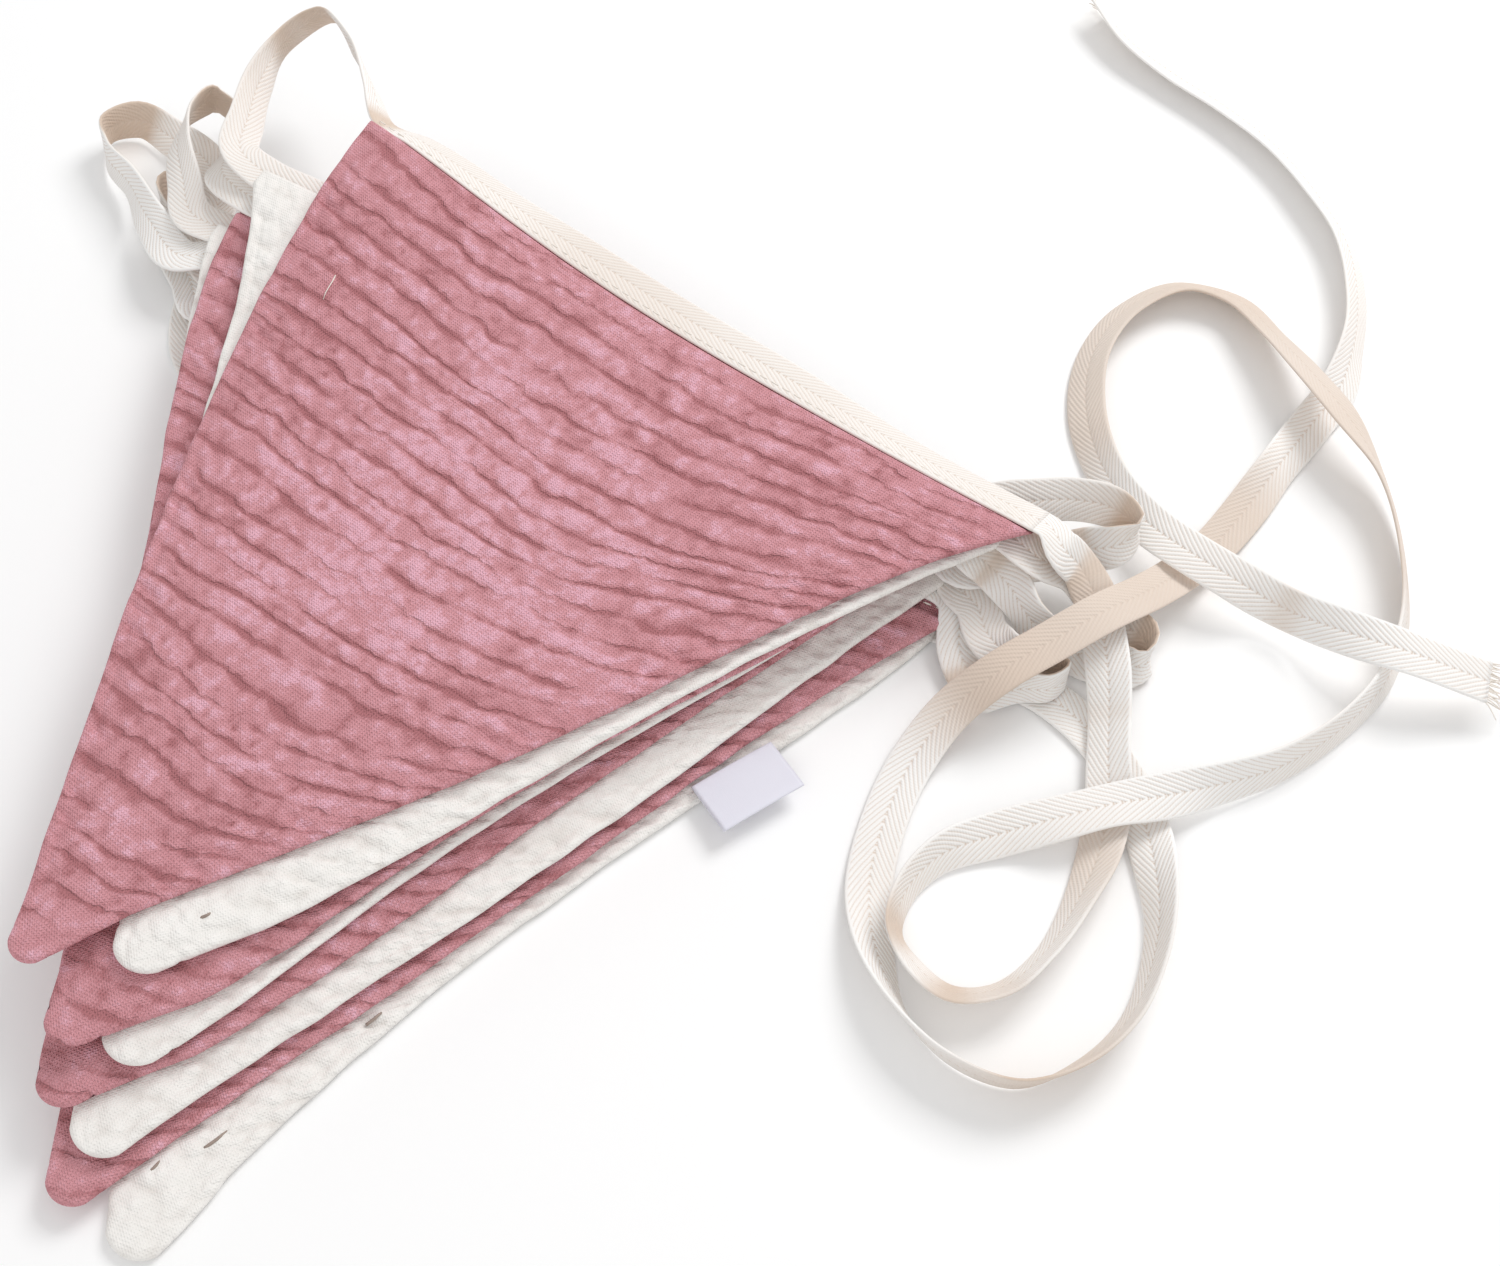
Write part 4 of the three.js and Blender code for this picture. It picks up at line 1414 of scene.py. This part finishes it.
@dataclass
class Tie:
    """One of the two long free ends of the tape.

    Attributes:
        name: The CAD node that it stands for.
        sewn_to: The pennant whose tape it carries on.
        route: Rows of x, y, lift and roll.
        length: Its length in metres; not used.
        seed: Which unevenness its loose threads have.
        shaded_beige: Stretches with painted shade, darker and warmer: start, end and how much.
        join: How far its start lies inside the sewn tape and under it.
        lead: How far its next station lies past the sewn tape and under it.
    """

    name: str
    sewn_to: Pennant
    route: Route
    length: float
    seed: int
    shaded_beige: tuple[tuple[float, float, float], ...]
    join: tuple[float, float] = (1.5, 0.06)
    lead: tuple[float, float] = (2.2, 0.35)

    def stations(self) -> list[Station]:
        """Its course from the sewn tape's end to the frayed end.

        Returns:
            A centre and a width direction for each station.
        """
        strip = self.sewn_to.strip()
        if not self.sewn_to.tape_on_top:
            strip = strip[::-1]
        centre, wide = strip[0]
        onwards = (centre - strip[1][0]).normalized()
        start = (centre - onwards * self.join[0] - Vector((0, 0, self.join[1])), wide)
        lead = (centre + onwards * self.lead[0] - Vector((0, 0, self.lead[1])), wide)
        return [start, lead] + route_stations(self.route, [lead])

    def build(self) -> bpy.types.Object:
        """Returns:
            The piece.
        """
        band = Band(f"tape_{self.name}", self.stations(), shaded_beige=self.shaded_beige)
        piece = band.build()
        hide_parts(self.name)
        path = band.path
        along = (path[-1] - path[-2]) / np.linalg.norm(path[-1] - path[-2])
        loose = FrayedEnd(f"frayed_{self.name}", self.seed).build(path[-1], along, band.last_width)
        return piece


@dataclass
class SewnTape:
    """The one tape that all the pennants hang on, with its loops between them.

    Attributes:
        length: Its length in metres; not used.
        shaded_beige: Stretches with painted shade, darker and warmer: start, end and how much.
    """

    length: float = 2.14
    shaded_beige: tuple[tuple[float, float, float], ...] = ((0, 185, 0.25),)

    def build(self) -> bpy.types.Object:
        """Returns:
            The piece.
        """
        piece = Band("tape_sewn", tape_stations(), Front.RIGHT_HAND, shaded_beige=self.shaded_beige).build()
        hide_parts("tape")
        return piece


@dataclass(frozen=True)
class Label:
    """A small blank label of folded satin at the side of the lowest pennant.

    Attributes:
        width: Its longer side.
        depth: Its shorter side.
        thickness: How thick the fold is.
        x: Its middle.
        y: Its middle.
        z: Its middle.
        turn: How far it is turned on the table, in degrees.
        tip: How far it leans, in degrees.
        wave: How high its middle stands over its ends.
    """

    width: float = 20.0
    depth: float = 13.0
    thickness: float = 0.9
    x: float = 71.5
    y: float = -13.0
    z: float = 4.2
    turn: float = 33.0
    tip: float = -4.0
    wave: float = 0.35

    def build(self) -> bpy.types.Object:
        """Returns:
            The piece.
        """
        turn = Matrix.Rotation(math.radians(self.turn), 4, "Z")
        tip = Matrix.Rotation(math.radians(self.tip), 4, "X")
        move = Matrix.Translation((self.x, self.y, self.z)) @ turn @ tip
        angles = np.linspace(0, 2 * math.pi, 37)
        across = np.sign(np.cos(angles)) * np.abs(np.cos(angles)) ** 0.25 * self.depth / 2
        raised = np.sign(np.sin(angles)) * np.abs(np.sin(angles)) ** 0.7 * self.thickness / 2
        along = np.linspace(-0.5, 0.5, 25) * self.width
        sag = self.wave * np.cos(along / self.width * 5)
        raised = raised[None] + sag[:, None] * 0.3
        points = np.stack(np.broadcast_arrays(along[:, None], across[None], raised), axis=-1)
        moved = points @ np.array(move.to_3x3()).T + np.array(move.translation)
        flat = np.stack(np.broadcast_arrays(along[:, None], across[None]), axis=-1)
        piece = closed_mesh("satin_label", [Surface(moved, flat, np.ones(points.shape[:2]))])
        piece.data.materials.append(SatinFinish().material())
        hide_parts("label")
        return piece


@dataclass(frozen=True)
class Stitching:
    """The row of stitches that holds the tape to each pennant it lies on.

    Attributes:
        pitch: From one stitch to the next.
        length: How long a stitch is.
        thickness: How thick its thread is.
        above_selvedge: How far the row lies from the tape's sewn selvedge.
        end_gap: How far the row stops short of the pennant's corners.
        sunk: How far a stitch's middle lies in the tape.
    """

    pitch: float = 3.0
    length: float = 2.3
    thickness: float = 0.42
    above_selvedge: float = 1.6
    end_gap: float = 3.0
    sunk: float = 0.05

    def build(self) -> bpy.types.Object:
        """Builds all the stitches as one piece.

        Returns:
            The piece.
        """
        bm = bmesh.new()
        size = Matrix.Diagonal((self.length / 2 * MM, self.thickness / 2 * MM, self.thickness / 2 * MM, 1))
        for pennant in PENNANTS:
            if not pennant.tape_on_top:
                continue
            turn = pennant.across.to_track_quat("X", "Z").to_matrix().to_4x4()
            edge = 0.5 - self.end_gap / pennant.width
            for share in np.linspace(-edge, edge, int(pennant.width / self.pitch) - 2):
                place, _ = pennant.on_tape(float(share), self.above_selvedge, CLOTH - self.sunk)
                move = Matrix.Translation(place * MM) @ turn @ size
                bmesh.ops.create_uvsphere(bm, u_segments=6, v_segments=4, radius=1, matrix=move)
        for face in bm.faces:
            face.smooth = True
        piece = object_of("stitches", bm)
        piece.data.materials.append(ThreadFinish().material())
        return piece


@dataclass(frozen=True)
class Pinches:
    """Short dark marks where small creases pinch the lower layers, shaped like threads and coloured with
    painted crease shade.

    Attributes:
        places: Rows of pennant index, across, below, across at the end, below at the end.
        thickness: How thick each one is.
    """

    places: tuple[tuple[int, float, float, float, float], ...] = (
        (1, 7.6, 156.8, 9.1, 154.6), (7, -2.9, 170, -1.7, 166.5), (7, 4.4, 161.9, 7.1, 157),
        (7, 16.7, 129.8, 19.2, 126.1), (7, 21.4, 127.8, 23.2, 124.4),
    )
    thickness: float = 0.8

    def build(self) -> bpy.types.Object:
        """Builds the dark crease marks as one piece.

        Returns:
            The piece.
        """
        surfaces = []
        for index, across, below, last_across, last_below in self.places:
            steps = np.linspace(0, 1, 7)
            line_across = across + (last_across - across) * steps + 0.25 * np.sin(steps * 4)
            line_below = below + (last_below - below) * steps
            sunk = CLOTH + 0.05 - 0.6 * (2 * steps - 1) ** 2
            points = PENNANTS[index].place(line_across, -line_below, sunk)
            surfaces.append(thread(points, self.thickness / 2))
        piece = closed_mesh("crease_shade_marks", surfaces)
        piece.data.materials.append(CREASE_SHADE_FINISH.material())
        return piece


@dataclass(frozen=True)
class StrayThread:
    """One loose end of thread on the top pennant.

    Attributes:
        places: Rows of across, below and height above the cloth.
        radius: Half its thickness.
    """

    places: tuple[tuple[float, float, float], ...] = (
        (-69.6, 39.3, 0.1), (-68.7, 41.2, 0.6), (-68.2, 42.9, 0.8), (-67.8, 44.6, 0.7), (-67.3, 46.1, 0.2),
    )
    radius: float = 0.17

    def build(self) -> bpy.types.Object:
        """Builds the thread.

        Returns:
            The piece.
        """
        across, below, height = np.array(self.places).T
        points = PENNANTS[0].place(across, -below, CLOTH + height)
        piece = closed_mesh("stray_thread", [thread(points, self.radius)])
        piece.data.materials.append(ThreadFinish().material())
        return piece


@dataclass(frozen=True)
class Studio:
    """Pale floor, soft light and a camera at the photograph's angle, in metres.

    Attributes:
        floor_size: Side of the square floor.
        floor_paint: Its colour.
        camera_place: Where the camera stands.
        down: How far the camera looks down, in degrees.
        lens: Focal length on a film 36 mm wide.
        aim: What the lamps face.
        lamps: Each lamp's name, place, size and power.
        sky_strength: How bright the surroundings are.
    """

    floor_size: float = 3.0
    camera_place: tuple[float, float, float] = (0.072, -0.218, 0.393)
    down: float = 58.0
    lens: float = 50.0
    floor_paint: Colour = (0.97, 0.97, 0.97, 1)
    aim: tuple[float, float, float] = (0.05, 0.03, 0.01)
    lamps: tuple[tuple[str, tuple[float, float, float], float, float], ...] = (
        ("window", (0.58, 0.62, 0.8), 0.5, 6.4), ("fill", (-0.2, -0.7, 0.9), 0.9, 2.2),
    )
    sky_strength: float = 0.63

    def camera(self) -> None:
        """Places the camera."""
        data = bpy.data.cameras.new("camera")
        data.lens = self.lens
        data.sensor_width = 36.0
        data.clip_start = 0.01
        camera = bpy.data.objects.new("camera", data)
        camera.location = self.camera_place
        camera.rotation_euler = (math.radians(90 - self.down), 0, 0)
        bpy.context.scene.collection.objects.link(camera)
        bpy.context.scene.camera = camera

    def light(self, name: str, place: tuple[float, float, float], size: float, power: float) -> None:
        """Places a soft square lamp that faces the stack.

        Args:
            name: Its name.
            place: Where it hangs.
            size: Its side.
            power: How bright it is, in watts.
        """
        data = bpy.data.lights.new(name, "AREA")
        data.size = size
        data.energy = power
        lamp = bpy.data.objects.new(name, data)
        lamp.location = place
        lamp.rotation_euler = (Vector(self.aim) - Vector(place)).to_track_quat("-Z", "Y").to_euler()
        bpy.context.scene.collection.objects.link(lamp)

    def build(self) -> None:
        """Builds the floor, the lights and the surroundings."""
        bm = bmesh.new()
        bmesh.ops.create_grid(bm, x_segments=1, y_segments=1, size=self.floor_size / 2)
        mesh = bpy.data.meshes.new("table")
        bm.to_mesh(mesh)
        bm.free()
        mesh.transform(Matrix.Translation((0, 0, -0.0002)))
        floor = bpy.data.objects.new("table", mesh)
        bpy.context.scene.collection.objects.link(floor)
        paint = bpy.data.materials.new("table")
        paint.use_nodes = True
        shader = paint.node_tree.nodes["Principled BSDF"]
        shader.inputs["Base Color"].default_value = self.floor_paint
        shader.inputs["Roughness"].default_value = 0.8
        mesh.materials.append(paint)
        for lamp in self.lamps:
            self.light(*lamp)
        world = bpy.data.worlds.new("surroundings")
        bpy.context.scene.world = world
        world.use_nodes = True
        sky = world.node_tree.nodes["Background"]
        sky.inputs["Color"].default_value = (1.0, 1.0, 1.0, 1)
        sky.inputs["Strength"].default_value = self.sky_strength
        bpy.context.scene.view_settings.view_transform = "Standard"


def report(piece: bpy.types.Object) -> None:
    """Logs a piece's name and how many faces it has."""
    log.info("%s: %d faces", piece.name, len(piece.data.polygons))


def main() -> None:
    """Builds the camera, the cords, the cloth and the small pieces, in that order."""
    logging.basicConfig(level=logging.INFO, format="%(name)s %(message)s")
    studio = Studio()
    studio.camera()
    ties = (
        Tie("tie_1", PENNANTS[0], TIE_1, 0.58, 3, ((75, 95, 0.6), (300, 480, 0.7))),
        Tie("tie_2", PENNANTS[LOWEST], TIE_2, 0.53, 4, ((120, 150, 0.6), (240, 350, 0.75))),
    )
    for tie in ties:
        report(tie.build())
    report(SewnTape().build())
    for pennant in PENNANTS:
        report(pennant.build())
    report(Label().build())
    for detail in (Stitching(), Pinches(), StrayThread()):
        report(detail.build())
    studio.build()


if __name__ == "__main__":
    main()
